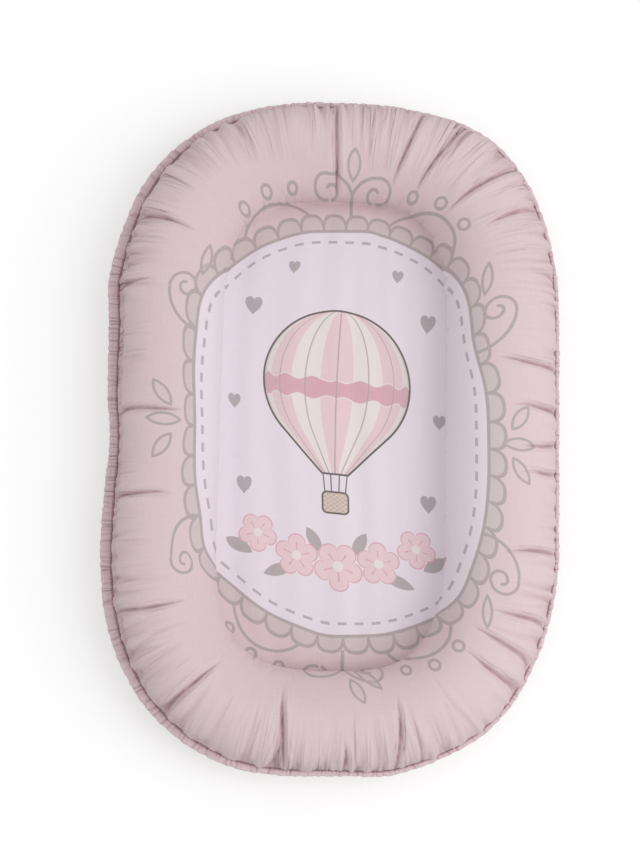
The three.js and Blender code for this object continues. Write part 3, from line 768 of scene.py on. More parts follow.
def bump(height, depth, strength=1.0, under=None):
    """A bump of that depth, in metres, over an earlier one."""
    node = node_for("Bump", height)
    for label, value in (("Distance", depth), ("Strength", strength), ("Height", height)):
        plug(node.inputs[label], value)
    if under is not None:
        plug(node.inputs["Normal"], under)
    return Wire(node.outputs[0])


def finish(shader, colour, roughness, normal):
    """Sets the three things that change over a surface."""
    for label, value in (("Base Color", colour), ("Roughness", roughness), ("Normal", normal)):
        plug(shader[label], value)


def cotton_finish(shader, weave, colour, under):
    """Matt cotton: its colour, with the weave over the creases under it."""
    finish(shader, colour, weave["Tone"] * 0.2 + 0.86, bump(weave["Height"], 0.00012, 0.5, under))
    shader["Sheen Weight"].default_value = 0.12
    shader["Specular IOR Level"].default_value = 0.25


def heading(degrees):
    """The direction that lies that far round from +X."""
    return (math.cos(math.radians(degrees)), math.sin(math.radians(degrees)), 0.0)


THREADS = 2.2  # in a millimetre of the cotton
LINE = 4.0  # the print's pen, in millimetres
PINK, SCALLOP_PINK, WHITE = dyed(218, 197, 200), dyed(207, 192, 194), dyed(230, 219, 227)
TAUPE, DASH_GREY, MOTIF_GREY = dyed(181, 169, 170), dyed(186, 176, 182), dyed(180, 171, 173)
PEN_GREY, CREAM, ROSE, DEEP_ROSE = dyed(112, 102, 100), dyed(231, 222, 219), dyed(229, 202, 207), dyed(216, 172, 182)
FIELD_X, FIELD_Y, FIELD_SQUARENESS = 197.6, 270.7, 2.61
SCALLOPS, SCALLOP_DEPTH, SCALLOP_HALF, SCALLOP_SQUARENESS = 44, 22.5, 19.0, 2.6
ALL_ROUND = -1.2  # below any cosine: a whole ring
DASHES, DASH_INSET, DASH_PITCH, DASH_SHARE = 62, 15.0, 24.0, 0.52

printed_cotton, tree, shader = material("printed_cotton")
print_at = read(tree, "print_at")
px, py, _ = parts_of(print_at)
side, rise = abs(px), abs(py)
folded = point_of(side, rise)
beside = point_of(side, py)

# The white field and its distance, then the lace scallops round it
reach = (side / FIELD_X) ** FIELD_SQUARENESS + (rise / FIELD_Y) ** FIELD_SQUARENESS
far = calc("LENGTH", print_at)
gap = far * (1.0 - reach ** (-1 / FIELD_SQUARENESS))
turn = calc("ARCTAN2", py, px)
uneven = turn - 2.944
for times, share in ((1.0, 0.056), (2.0, -0.126)):
    uneven = calc("SINE", turn * times) * share + uneven
uneven = calc("COSINE", turn * 3.0) * 0.024 + uneven
drawn_in = 0.0  # the lace is narrower in two places
for facing, closeness, less in ((180, 7.0, 9.5), (42, 8.0, 4.5)):
    toward = calc("MAXIMUM", calc("COSINE", turn - math.radians(facing)), 0.0)
    drawn_in = toward ** closeness * less + drawn_in
across_one = abs(calc("FRACT", uneven * (SCALLOPS / math.tau)) - 0.5)
bow = (across_one * 2.0) ** SCALLOP_SQUARENESS + (
    calc("MAXIMUM", gap, 0.0) / (SCALLOP_DEPTH - drawn_in)) ** SCALLOP_SQUARENESS
scallop = (bow ** (1 / SCALLOP_SQUARENESS) - 1.0) * SCALLOP_HALF


def arc(point, middle, radius, facing=90.0, span=180.0):
    """An arc of the print's pen, facing that heading and spanning so many degrees each way from it."""
    span_cosine = math.cos(math.radians(span)) if span < 180 else ALL_ROUND
    return use(arc_pen, Point=point, Centre=middle, Radius=radius, Facing=heading(facing), Span_Cosine=span_cosine,
               Thickness=LINE)["Ink"]


colour = paint(arc(folded, (91, 253, 0), 50.0), PINK, TAUPE)
colour = paint(inside(scallop), colour, SCALLOP_PINK)
colour = paint(stroke(scallop, LINE), colour, TAUPE)

# Curls, leaves and rings, which the print repeats on both sides and both ends
fan = point_of(side, abs(px * -0.04 + py + 19.0))
strokes = [(fan, (176, 172, 0), 55.0, -37.0, 41.0), (fan, (212.5, 176, 0), 18.5, 90.0, 90.0),
           (fan, (205, 176, 0), 11.0, -90.0, 90.0), (fan, (210, 176, 0), 6.0, 60.0, 62.0),
           (folded, (32, 309, 0), 35.5, 124.0, 35.0), (folded, (37, 330, 0), 14.5, -2.0, 110.0),
           (folded, (29.5, 324, 0), 8.5, 175.0, 85.0), (folded, (29.5, 327, 0), 5.5, 50.0, 42.0),
           (folded, (150, 280, 0), 7.0), (folded, (120, 310, 0), 7.0), (folded, (83, 322, 0), 6.2)]
for parts in strokes:
    colour = paint(arc(*parts), colour, TAUPE)
stem = calc("MAXIMUM", side - 2.3, abs(rise - 306.0) - 16.0)
colour = paint(inside(stem), colour, TAUPE)
leaves = [(fan, (238, 0, 0), 0.0, 21.0, 7.5), (fan, (239, 34.5, 0), 56.0, 18.5, 7.5),
          (fan, (188, 218, 0), 92.0, 21.0, 6.0), (print_at, (0, 359, 0), 88.0, 19.5, 8.0),
          (print_at, (18, -360, 0), -58.0, 17.0, 7.0), (print_at, (31, -338, 0), -38.0, 23.0, 6.0)]
taken_up = inside(px + 150.0) * inside(py + 150.0)  # a pleat hides what lies there
for point, middle, facing, half_length, half_breadth in leaves:
    leaf = use(leaf_pen, Point=point, Centre=middle, Direction=heading(facing), Half_Length=half_length,
               Half_Width=half_breadth, Thickness=3.4)
    seen = 1.0 - taken_up if middle[1] == 218 else 1.0
    colour = paint(leaf["Fill"] * 0.35 * seen, colour, SCALLOP_PINK)
    colour = paint(leaf["Ink"] * seen, colour, TAUPE)

colour = paint(inside(gap, 1.2), colour, WHITE)
dash_turn = calc("SINE", turn * 2.0) * -0.078 + turn
dash_turn = calc("FRACT", dash_turn * (DASHES / math.tau))
dash_along = (abs(dash_turn - 0.5) - DASH_SHARE / 2) * DASH_PITCH
dash = inside(dash_along) * stroke(gap + (drawn_in * -0.6 + DASH_INSET), 3.5)
colour = paint(dash, colour, DASH_GREY)
colour = paint(stroke(gap - 0.5, 4.2), colour, TAUPE)

# The picture in the middle: a hot air balloon over a garland of blossoms, with scattered hearts
for middle, size in (((118, 152, 0), 13.0), ((70, 214, 0), 9.0), ((138, 20, 0), 10.0), ((122, -92, 0), 12.0)):
    colour = paint(use(heart_pen, Point=beside, Centre=middle, Size=size)["Fill"], colour, MOTIF_GREY)
sprigs = (((79, -196, 0), -20.0, 20.0), ((30, -152, 0), 60.0, 17.0), ((128, -168, 0), 30.0, 17.0))
for middle, facing, length in sprigs:
    leaf = use(leaf_pen, Point=beside, Centre=middle, Direction=heading(facing), Half_Length=length,
               Half_Width=7.0, Thickness=1.8)
    colour = paint(leaf["Fill"], colour, MOTIF_GREY)
    colour = paint(leaf["Ink"], colour, TAUPE)
for middle, size, turned in (((104, -150, 0), 25.0, 0.3), ((54, -175, 0), 28.0, 0.9), ((0, -184, 0), 32.0, 0.31)):
    flower = use(blossom_pen, Point=beside, Centre=middle, Size=size, Turn=turned)
    for label, dye in (("Fill", ROSE), ("Rib", DEEP_ROSE), ("Ink", DEEP_ROSE), ("Eye", CREAM)):
        colour = paint(flower[label], colour, dye)

BALLOON_Y, BALLOON_RADIUS, GORES = 62.0, 98.0, 7
TAPER_TOP, THROAT, THROAT_HALF = -6.0, -62.0, 17.0
lift = py - BALLOON_Y
dome = calc("LENGTH", point_of(side, lift)) - BALLOON_RADIUS
taper_half = (py - THROAT) * 0.957 + THROAT_HALF
taper = calc("MAXIMUM", (side - taper_half) * 0.72, calc("MAXIMUM", THROAT - py, py - TAPER_TOP))
envelope = calc("MINIMUM", dome, taper)
dome_half = calc("SQRT", calc("MAXIMUM", BALLOON_RADIUS ** 2 - lift * lift, 1.0))
below = inside(py - TAPER_TOP)
half_here = taper_half * below + dome_half * (1.0 - below)
gore = calc("ARCSINE", calc("MINIMUM", side / half_here, 0.999)) * (GORES / math.pi)
gore_edge = abs(calc("FRACT", gore) - 0.5)
gore_tone = calc("PINGPONG", calc("FLOOR", gore + 0.5), 1.0)
balloon = paint(gore_tone, ROSE, CREAM)
belt = abs(lift + dome_half * 0.1) - 13.0 + calc("SINE", gore * math.tau) * 3.0
balloon = paint(inside(belt), balloon, DEEP_ROSE)
balloon = paint(stroke(belt, 1.6), balloon, WHITE)
balloon = paint(stroke((0.5 - gore_edge) * (half_here * 0.3), 1.2), balloon, TAUPE)
balloon = paint(clamped((side / half_here) ** 4.0 * 0.28), balloon, MOTIF_GREY)
colour = paint(inside(envelope), colour, balloon)
colour = paint(stroke(envelope, 2.6), colour, PEN_GREY)
rope_height = abs(py - (THROAT - 13)) - 13.0
rope_out = (py - THROAT) * 0.1 + (THROAT_HALF - 1)
for share in (1.0, 0.36):
    colour = paint(stroke(side - rope_out * share, 1.6) * inside(rope_height), colour, PEN_GREY)
basket = calc("LENGTH", calc("MAXIMUM", point_of(side, abs(py + 100.0)) - (11, 8, 0), (0, 0, 0))) - 6.0
wicker = calc("SINE", py * 1.1) * calc("SINE", px * 0.8)
colour = paint(inside(basket), colour, paint(inside(wicker, 0.3), dyed(214, 198, 188), dyed(196, 178, 168)))
colour = paint(stroke(basket, 2.4), colour, PEN_GREY)

cloth_at = read(tree, "cloth_at")
weave = use(plain_weave, Cloth_Place=cloth_at, Threads_per_mm=THREADS)
threads = paint(0.55, colour, clamped(weave["Tone"] * 0.16 + 0.5), "OVERLAY")
gathers = use(fine_gathers, Rim_Place=read(tree, "rim_place"))
gathered = read(tree, "gather", "Fac")
crease_off, crease_sharp, _ = parts_of(read(tree, "long_crease"))
pressed = use(sharp_creases, Off=crease_off, Sharp=crease_sharp, Cloth_Place=cloth_at)["Line"]
# Painted shade: the cloth is darkened to dyed(176, 132, 140) in its folds and along the creases of the gathers and the
# long folds
painted_crease_shade = gathers["Line"] ** 1.5 * (gathered * 1.15) + pressed
folds = clamped(read(tree, "fold", "Fac") + painted_crease_shade) * 0.42
lumpy = bump(use(hand_creases, Cloth_Place=cloth_at, Size=34.0)["Height"], 0.0010, 0.5)
lumpy = bump(gathers["Height"] * gathered, 0.0062, 1.0, lumpy)
lumpy = bump(pressed * -1.0, 0.0011, 1.0, lumpy)
cotton_finish(shader, weave, paint(folds, threads, dyed(176, 132, 140)), lumpy)

printed_cover.data.materials.append(printed_cotton)
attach(printed_cover, "nest")
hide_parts("top_cover")

# 2. The base cover.
# The plain sheet under the nest, of the same cotton without the print. It meets the printed cover at the rim,
# curls under the bolster, is sewn up to the floor, and has a slot for the zip.
OUTER_FLANK, INNER_FLANK, BASE_LIFT = 0.040, 0.026, 0.007
BASE_RIM, OFF_GROUND, FOLD_SUNK, FOLD_PROUD = 0.05185, 0.0002, 0.006, 0.0015
SEAM_RISE, MOST_DRAWN_UP = 0.0078, 0.018  # the seam draws the base up that far above BASE_LIFT
ZIP_Y, SLOT_HALF_LENGTH, SLOT_HALF_WIDTH = -0.20034, 0.1314, 0.007
BASE_PINK = dyed(214, 186, 191)


def underside(half, inset=0.0):
    """The bolster's lower section, from the rim, along the ground, up to the floor seam."""
    out, up = [], []
    for turn in np.radians(np.linspace(90, 0, 15)):
        out.append(half - inset * math.sin(turn) - OUTER_FLANK * (1 - math.sin(turn)))
        up.append(BASE_RIM * (1 - math.cos(turn)) + inset * math.cos(turn))
    for share in (0.3, 0.7):
        out.append(out[14] + share * (-half + INNER_FLANK - out[14]))
        up.append(inset)
    for turn in np.radians(np.linspace(90, 0, 8)):
        out.append(-half + INNER_FLANK * (1 - math.cos(turn)))
        up.append(inset + BASE_LIFT * (1 - math.sin(turn)))
    return np.stack(out, 1), np.broadcast_to(np.array(up), (len(half), len(up)))


# The underside needs no more than the trial ring's stations
STATIONS, centre, outward, half_width, push = trial.around, trial.centre, trial.outward, trial.half, trial.push
under_out, under_up = underside(half_width)
foot_rise = np.minimum(SEAM_RISE + SEAM_PULL * pull_share(outward)[:, None], MOST_DRAWN_UP)
foot_rise = foot_rise * np.linspace(0, 1, 8) ** 1.5
under_up = np.concatenate([under_up[:, :-8], under_up[:, -8:] + foot_rise], 1)
UNDER_ROWS = under_out.shape[1]
under_step = np.hypot(np.diff(under_out, axis=1), np.diff(under_up, axis=1))
under_left = np.concatenate([np.zeros((STATIONS, 1)), np.cumsum(under_step, 1)], 1)
rim_share = fading(under_left, 0.060)
under_plan = centre[:, None] + outward[:, None] * (under_out + push[:, None] * rim_share)[..., None]
under_cover = np.concatenate([under_plan, under_up[..., None]], -1)
under_lie = np.cross(np.gradient(under_cover, axis=1), np.roll(under_cover, -1, 0) - np.roll(under_cover, 1, 0))
under_lie /= np.linalg.norm(under_lie, axis=-1, keepdims=True)
under_gathers = np.zeros((STATIONS, UNDER_ROWS))
chance = np.random.default_rng(33)
for _ in range(300):  # gathers in from the rim
    share, reach = chance.random(), chance.uniform(0.018, 0.075)
    width, depth = chance.uniform(0.003, 0.007), chance.uniform(0.001, 0.0035)
    fade = fading(under_left, reach) ** 0.7
    under_gathers -= depth * fade * pinch(trial.off(share) / width)
under_to_seam = under_left[:, -1:] - under_left
for _ in range(110):  # puckers out from the floor's seam
    share, reach = chance.random(), chance.uniform(0.010, 0.040)
    width, depth = chance.uniform(0.003, 0.006), chance.uniform(0.0006, 0.002)
    fade = fading(under_to_seam, reach) ** 0.8 * ramp(under_to_seam, 0.004)
    under_gathers -= depth * fade * np.exp(-np.abs(trial.off(share) / width) ** 1.3)
under_cover = under_cover + under_lie * np.clip(under_gathers, -FOLD_SUNK, FOLD_PROUD)[..., None]
under_cover[..., 2] = np.maximum(under_cover[..., 2], OFF_GROUND)
under_tuck = np.concatenate([centre + outward * (half_width + push + RAW_EDGE_OUT)[:, None],
                             np.full((STATIONS, 1), BASE_RIM)], 1)
under_cover = np.concatenate([under_tuck[:, None], under_cover], 1)
under_rows = UNDER_ROWS + 1


def slot_outline(grow, distance):
    """The zip's slot with its corners rounded, grown by that much."""
    long, wide, corner = SLOT_HALF_LENGTH + grow, SLOT_HALF_WIDTH + grow, 0.002 + max(grow, 0)
    points = []
    for step in range(4):
        middle = ((long - corner) * (1, -1, -1, 1)[step], (wide - corner) * (1, 1, -1, -1)[step])
        for turn in np.radians(np.linspace(90 * step, 90 * step + 90, 5)):
            points.append((middle[0] + corner * math.cos(turn), middle[1] + corner * math.sin(turn) + ZIP_Y))
    return spaced(np.array(points), distance)


def drawn_up_at(points, to_seam):
    """How far the floor's seam draws the base up round it. The zip keeps the cloth flat about its ends."""
    from_slot = np.hypot(*np.maximum(np.abs(points - (0, ZIP_Y)) - (SLOT_HALF_LENGTH, SLOT_HALF_WIDTH), 0).T)
    rise = np.minimum(SEAM_RISE + SEAM_PULL * nearest_pull_share(points), MOST_DRAWN_UP)
    return rise * bell(to_seam, 0.008) * np.clip(from_slot / 0.008 - 0.75, 0, 1)


base_seam = under_cover[:, -1, :2]
slot_edge = slot_outline(0.0, 0.004)
SLOT_POINTS = len(slot_edge)
rows_in = [(depth, inset_loop(depth, gap)) for depth, gap in ((0.006, 0.005), (0.013, 0.007))]
panel_points, panel_faces = fill_loop(base_seam, rows_in, 0.009, holes=[slot_edge])
to_seam = gap_to(base_seam, panel_points)
to_slot = gap_to(slot_edge, panel_points)
x, y = panel_points.T
calm = ramp(to_seam, 0.03) * ramp(to_slot - 0.010, 0.03)
waves = 0.0010 * np.sin(x / 0.021 + 1.3 * np.sin(y / 0.07)) + 0.0008 * np.sin(y / 0.033 + 1.1 * np.sin(x / 0.05))
panel_height = BASE_LIFT + drawn_up_at(panel_points, to_seam) + calm * waves
panel = np.column_stack([panel_points, panel_height])[STATIONS:]
hem_rows = []  # the slot's edge, turned under: how far each row lies out from the slot, and above the base
for grow, lift in ((-0.0006, 0.0004), (-0.0006, 0.0010), (0.0, 0.0013), (0.0045, 0.0013)):
    middle = slot_edge - (0, ZIP_Y)
    scale = np.array([1 + grow / SLOT_HALF_LENGTH, 1 + grow / SLOT_HALF_WIDTH])
    hem_rows.append(np.column_stack([middle * scale + (0, ZIP_Y), np.full(SLOT_POINTS, BASE_LIFT + lift)]))
ring_points = STATIONS * under_rows
corner_of = np.r_[np.arange(STATIONS) * under_rows + under_rows - 1, np.arange(len(panel)) + ring_points]
faces = ring_faces(STATIONS, under_rows) + [tuple(int(corner_of[v]) for v in face) for face in panel_faces]
row_starts = [ring_points] + [ring_points + len(panel) + SLOT_POINTS * i for i in range(4)]
for low, high in zip(row_starts, row_starts[1:]):
    faces += [(low + i, low + (i + 1) % SLOT_POINTS, high + (i + 1) % SLOT_POINTS, high + i)
              for i in range(SLOT_POINTS)]
base_cover = make_piece("base_cover_cloth", np.concatenate([under_cover.reshape(-1, 3), panel, *hem_rows]), faces)
face_out(base_cover, upward=-1)
under_run = np.concatenate([under_to_seam[:, :1] + 0.003, under_to_seam], 1)
flat_ring = (base_seam[:, None] + outward[:, None] * under_run[..., None]).reshape(-1, 2)
flat_base = np.concatenate([flat_ring, panel[:, :2], *[row[:, :2] for row in hem_rows]]) * 1000
note(base_cover, "cloth_at", "FLOAT_VECTOR", np.column_stack([flat_base, np.zeros(len(flat_base))]))

base_cotton, tree, shader = material("base_cotton")
place = read(tree, "cloth_at")
weave = use(plain_weave, Cloth_Place=place, Threads_per_mm=THREADS)
creases = use(hand_creases, Cloth_Place=place, Size=38.0)["Height"]
# The weave's own tone, with painted shade darkening the cloth along its creases
tone_and_crease_shade = clamped(weave["Tone"] * 0.8 + creases * 0.25)
cotton_finish(shader, weave, paint(tone_and_crease_shade, BASE_PINK, tuple(0.86 * v for v in BASE_PINK[:3]) + (1.0,)),
              bump(creases, 0.0012, 0.5))
base_cover.data.materials.append(base_cotton)
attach(base_cover, "nest")
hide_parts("base_cover")

# 3. The bolster's wadding.
# White hollow fibre, stuffed into the ring between the two covers. It fills the puffs and dips under the folds.
WADDING_INSET, WADDING_UNDER_FOLD, WADDING_OFF_BASE = 0.0085, 0.0035, 0.004
stations, rows = slice(0, ring.around, 4), slice(0, ring.across, 4)
deepest = proud.copy()
for shift in range(-5, 6):
    deepest = np.minimum(deepest, np.roll(proud, shift, 0))
for shift in range(1, 3):
    deepest[:, shift:] = np.minimum(deepest[:, shift:], deepest[:, :-shift])
    deepest[:, :-shift] = np.minimum(deepest[:, :-shift], deepest[:, shift:])
tufts = np.random.default_rng(5).uniform(-0.001, 0.001, deepest.shape)
inset = np.maximum(WADDING_INSET, WADDING_UNDER_FOLD - deepest + tufts)
top_wadding = (ring.even - ring.lie * inset[..., None])[stations, rows]
low_out, low_up = underside(trial.half[::2] - WADDING_INSET, WADDING_OFF_BASE)
low_push = trial.push[::2, None] * np.clip(1 - np.linspace(0, 3, low_out.shape[1]), 0, 1)
low_plan = trial.centre[::2, None] + trial.outward[::2, None] * (low_out + low_push)[..., None]
low_wadding = np.concatenate([low_plan, low_up[..., None]], -1)[:, 1:-1]
section = np.concatenate([top_wadding, low_wadding], 1)
bolster_wadding = make_piece("bolster_wadding", section, ring_faces(len(section), section.shape[1], closed=True))
face_out(bolster_wadding)
wadding, tree, shader = material("white_wadding")


def own_place(tree):
    """Where each point lies on its piece, in metres."""
    return Wire(tree.nodes.new("ShaderNodeTexCoord").outputs["Object"])


where = own_place(tree)
fluff = noise(where, 90.0, 6.0)
clumps = node_for("TexVoronoi", where)
plug(clumps.inputs["Vector"], where)
plug(clumps.inputs["Scale"], 60.0)
fibre = fluff + Wire(clumps.outputs["Distance"]) * 0.6
finish(shader, paint(clamped(fibre * 0.8), dyed(222, 218, 212), dyed(248, 246, 242)), fluff * 0.1 + 0.88,
       bump(fibre, 0.003, 0.8))
shader["Sheen Weight"].default_value = 0.3
bolster_wadding.data.materials.append(wadding)
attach(bolster_wadding, "nest")
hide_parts("bolster_fill")

# 4. The floor's wadding.
# A flat pad of the same fibre, quilted thin, between the printed floor and the base cover.
PAD_EDGE, PAD_BOTTOM, EDGE_LIFT, UNDER_FLOOR, PAD_TUFTS, LOW_TUFTS = 0.008, 0.0093, 0.0011, 0.0022, 0.0006, 0.0004
pad_outline = inset_loop(PAD_EDGE, 0.008)
pad_points, pad_faces = fill_loop(pad_outline, [(0.006, inset_loop(PAD_EDGE + 0.006, 0.009))], 0.013)
chance = np.random.default_rng(8)
pad_top = floor_level(pad_points)[0] - UNDER_FLOOR - PAD_TUFTS * chance.random(len(pad_points))
to_seam = gap_to(trial.even[:, 0, :2], pad_points)
pad_low = (PAD_BOTTOM + drawn_up_at(pad_points, to_seam) + EDGE_LIFT * bell(to_seam, 0.014)
           + LOW_TUFTS * chance.random(len(pad_points)))
edge_count, pad_count = len(pad_outline), len(pad_points)
faces = [tuple(face) for face in pad_faces] + [tuple(v + pad_count for v in face[::-1]) for face in pad_faces]
faces += [(i, (i + 1) % edge_count, (i + 1) % edge_count + pad_count, i + pad_count) for i in range(edge_count)]
floor_wadding = make_piece("floor_wadding", np.concatenate([np.column_stack([pad_points, pad_top]),
                                                            np.column_stack([pad_points, pad_low])]), faces)
face_out(floor_wadding)
floor_wadding.data.materials.append(wadding)
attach(floor_wadding, "nest")
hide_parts("mattress_pad")

# 5. The rim's casing and its elastic.
# A bias strip of the pink cotton, folded round the raw edges of both covers. The elastic braid inside it is
# shorter than the cloth, and so ruches the strip all round.
RUCHES, RUCHE_STATIONS, CASING_POINTS = 430, 2400, 18
CASING_MIDDLE, CASING_HALF_HEIGHT, CASING_TUCK, CASING_SWELL = 0.0525, 0.0050, 0.0010, 0.0006
RUCHE_BITE, RUCHE_LEAN, FULL_BITE_DEPTH = 0.0030, 0.0008, 0.0136
CASING_FULLNESS, CASING_GIRTH, SEAM_SHADE = 1.2, 36, 0.0016  # the girth in millimetres
rim_centre, rim_out, rim_half, rim_length = centre_line(RUCHE_STATIONS)
rim_start = rim_half + rim_push(rim_centre)
chance = np.random.default_rng(12)
ruche_at = (np.arange(RUCHES) + chance.uniform(-0.42, 0.42, RUCHES)) / RUCHES
ruche_size = chance.uniform(0.1, 1.0, RUCHES) ** 1.5
station_share = np.arange(RUCHE_STATIONS) / RUCHE_STATIONS
turns = np.arange(CASING_POINTS) / CASING_POINTS * math.tau
round_out = 0.5 + 0.5 * np.sign(np.cos(turns)) * np.abs(np.cos(turns)) ** 0.8
round_up = np.sign(np.sin(turns)) * np.abs(np.sin(turns)) ** 0.8
skin = 0.5 + 0.5 * np.cos(turns)
# Each ruche leans a little across the casing, and so its crease wanders as it comes round
wander = chance.uniform(-1, 1, RUCHES) * 0.6
loop_at = np.r_[ruche_at[-1] - 1, ruche_at, ruche_at[0] + 1]
phase = np.interp(station_share, loop_at, np.arange(RUCHES + 2))[:, None] + np.interp(
    station_share, loop_at, np.r_[wander[-1], wander, wander[0]])[:, None] * (1 - skin)
size_here = np.interp(station_share, loop_at, np.r_[ruche_size[-1], ruche_size, ruche_size[0]])
valley = (0.5 + 0.5 * np.cos(phase * math.tau)) ** 2.2 * size_here[:, None]
slow = sum(np.sin(station_share * math.tau * k + phase_off) * weight for k, phase_off, weight in (
    (23, 0.4, 0.5), (41, 2.1, 0.35), (67, 4.0, 0.3), (153, 1.2, 0.5), (241, 3.0, 0.5)))
casing_out = casing_depth(rim_centre) + CASING_SWELL * slow
bite = RUCHE_BITE * valley * (0.3 + 0.7 * np.abs(round_up)) * (0.55 + 0.45 * (casing_out[:, None] / FULL_BITE_DEPTH))
lean = RUCHE_LEAN * np.sin(phase * 2.1 + 1.3) * skin
casing_x = (rim_start[:, None] - CASING_TUCK + (casing_out[:, None] + CASING_TUCK) * round_out
            - bite * np.cos(turns) * 0.5)
casing_z = CASING_MIDDLE + (CASING_HALF_HEIGHT - bite) * round_up + lean
casing_points = np.concatenate([rim_centre[:, None] + rim_out[:, None] * casing_x[..., None], casing_z[..., None]], -1)
rim_casing = make_piece("ruched_casing", casing_points, ring_faces(RUCHE_STATIONS, CASING_POINTS, closed=True))
face_out(rim_casing)
run_round = station_share * rim_length * 1000 * CASING_FULLNESS
skin_run = turns / math.tau * CASING_GIRTH
note(rim_casing, "cloth_at", "FLOAT_VECTOR", np.stack([
    np.broadcast_to(run_round[:, None], casing_x.shape), np.broadcast_to(skin_run, casing_x.shape),
    np.zeros(casing_x.shape)], -1))
shade = fading(casing_x - rim_start[:, None], SEAM_SHADE)  # where the covers shade the strip beside their seam
# Painted shade: the strip is darker in the ruches' valleys and beside the covers' seam
note(rim_casing, "fold", "FLOAT", np.clip(0.75 * valley + 0.7 * shade, 0, 1))
casing_cotton, tree, shader = material("casing_cotton")
place = read(tree, "cloth_at")
weave = use(plain_weave, Cloth_Place=place, Threads_per_mm=THREADS)
# The strip's colour, darkened to dyed(168, 133, 141) by that painted shade
ground = paint(clamped(read(tree, "fold", "Fac") * 0.8), dyed(226, 203, 207), dyed(168, 133, 141))
cotton_finish(shader, weave, paint(clamped(weave["Tone"] * 1.2 + 0.2), ground, dyed(198, 174, 178)),
              bump(noise(place * (0.55, 0.05, 1.0)), 0.0012, 0.7))
rim_casing.data.materials.append(casing_cotton)
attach(rim_casing, "nest")
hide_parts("rim_casing")

BRAID_HALF_HEIGHT, BRAID_THICKNESS, BRAID_SHARE, RIB_HEIGHT = 0.0024, 0.0013, 0.32, 0.00012
braid_every = slice(0, RUCHE_STATIONS, 2)
braid_profile = np.array([(0, -1), (1, -1), (1, -0.33), (1, 0.33), (1, 1), (0, 1), (0, 0.33), (0, -0.33)])
rib = RIB_HEIGHT * (-1.0) ** np.arange(RUCHE_STATIONS // 2)
braid_in = (rim_start + casing_out * BRAID_SHARE)[braid_every, None]
braid_x = braid_in + BRAID_THICKNESS * braid_profile[:, 0] + rib[:, None]
braid_z = CASING_MIDDLE + BRAID_HALF_HEIGHT * braid_profile[:, 1] + 0 * braid_x
braid_points = np.concatenate([rim_centre[braid_every][:, None] + rim_out[braid_every][:, None] * braid_x[..., None],
                               braid_z[..., None]], -1)
elastic_braid = make_piece("elastic_braid", braid_points, ring_faces(len(braid_points), 8, closed=True))
face_out(elastic_braid)
note(elastic_braid, "cloth_at", "FLOAT_VECTOR", np.stack([
    np.broadcast_to(run_round[braid_every, None], braid_x.shape), braid_z * 1000, 0 * braid_x], -1))
braid, tree, shader = material("elastic_braid")
place = parts_of(read(tree, "cloth_at"))
plait = calc("SINE", place[0] * 2.6 + place[1] * 3.0) * calc("SINE", place[0] * 2.6 - place[1] * 3.0)
finish(shader, paint(plait * 0.5 + 0.5, dyed(216, 212, 206), dyed(245, 243, 239)), plait * 0.08 + 0.7,
       bump(plait, 0.0003, 0.8))
elastic_braid.data.materials.append(braid)
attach(elastic_braid, "nest")
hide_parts("rim_elastic")

# 6. The seams' stitches.
# Lockstitch in a pink polyester thread, darker than the cloth so that it also gives the painted shade along the seams:
# one row holds the casing on, the other sews the floor down.
THREAD_RADIUS, RIM_SEWN_OUT, RIM_SEWN_UP = 0.00042, 0.0012, 0.80
FLOOR_SEWN_IN, FLOOR_SEWN_LOW = 0.0003, 0.0012
RIM_PITCH, FLOOR_PITCH, STITCH_LENGTH = 0.0042, 0.0040, 0.0030


def bar_faces(rings, sides, first=0):
    """The faces of a solid bar: rings of points along it, joined by quads, with a cap on each end."""
    faces = []
    for i in range(first, first + (rings - 1) * sides, sides):
        faces += [(i + j, i + (j + 1) % sides, i + sides + (j + 1) % sides, i + sides + j) for j in range(sides)]
    last = first + (rings - 1) * sides
    return faces + [tuple(range(first + sides - 1, first - 1, -1)), tuple(range(last, last + sides))]


def stitch_row(name, path, normals, pitch, length, radius=THREAD_RADIUS):
    """A row of single stitches along a path, each a short arched thread with its ends in the cloth."""
    run = np.r_[0, np.cumsum(np.linalg.norm(np.diff(path, axis=0), axis=1))]
    count = int(run[-1] / pitch)
    points, faces = [], []
    profile = ((-0.5, -0.9, 0.45), (-0.34, 0.15, 0.95), (0.0, 0.45, 1.0), (0.34, 0.15, 0.95), (0.5, -0.9, 0.45))
    for number in range(count):
        middle = (number + 0.5) / count * run[-1]
        here, ahead, behind = points_at(path, run, middle + length * np.array((0, 0.5, -0.5)))
        up, along = points_at(normals, run, middle), ahead - behind
        along /= np.linalg.norm(along)
        up -= along * up.dot(along)
        up /= np.linalg.norm(up)
        aside = np.cross(along, up)
        faces += bar_faces(len(profile), 6, len(points))
        for place, lift, girth in profile:
            for turn in np.arange(6) / 6 * math.tau:
                points.append(here + along * place * length + up * radius * (lift + girth * math.sin(turn))
                              + aside * radius * girth * math.cos(turn))
    return make_piece(name, points, faces)


# Spun thread: a twist along it, a little fuzz
pink_thread, tree, shader = material("pink_thread")
twist = noise(own_place(tree), 2600.0)
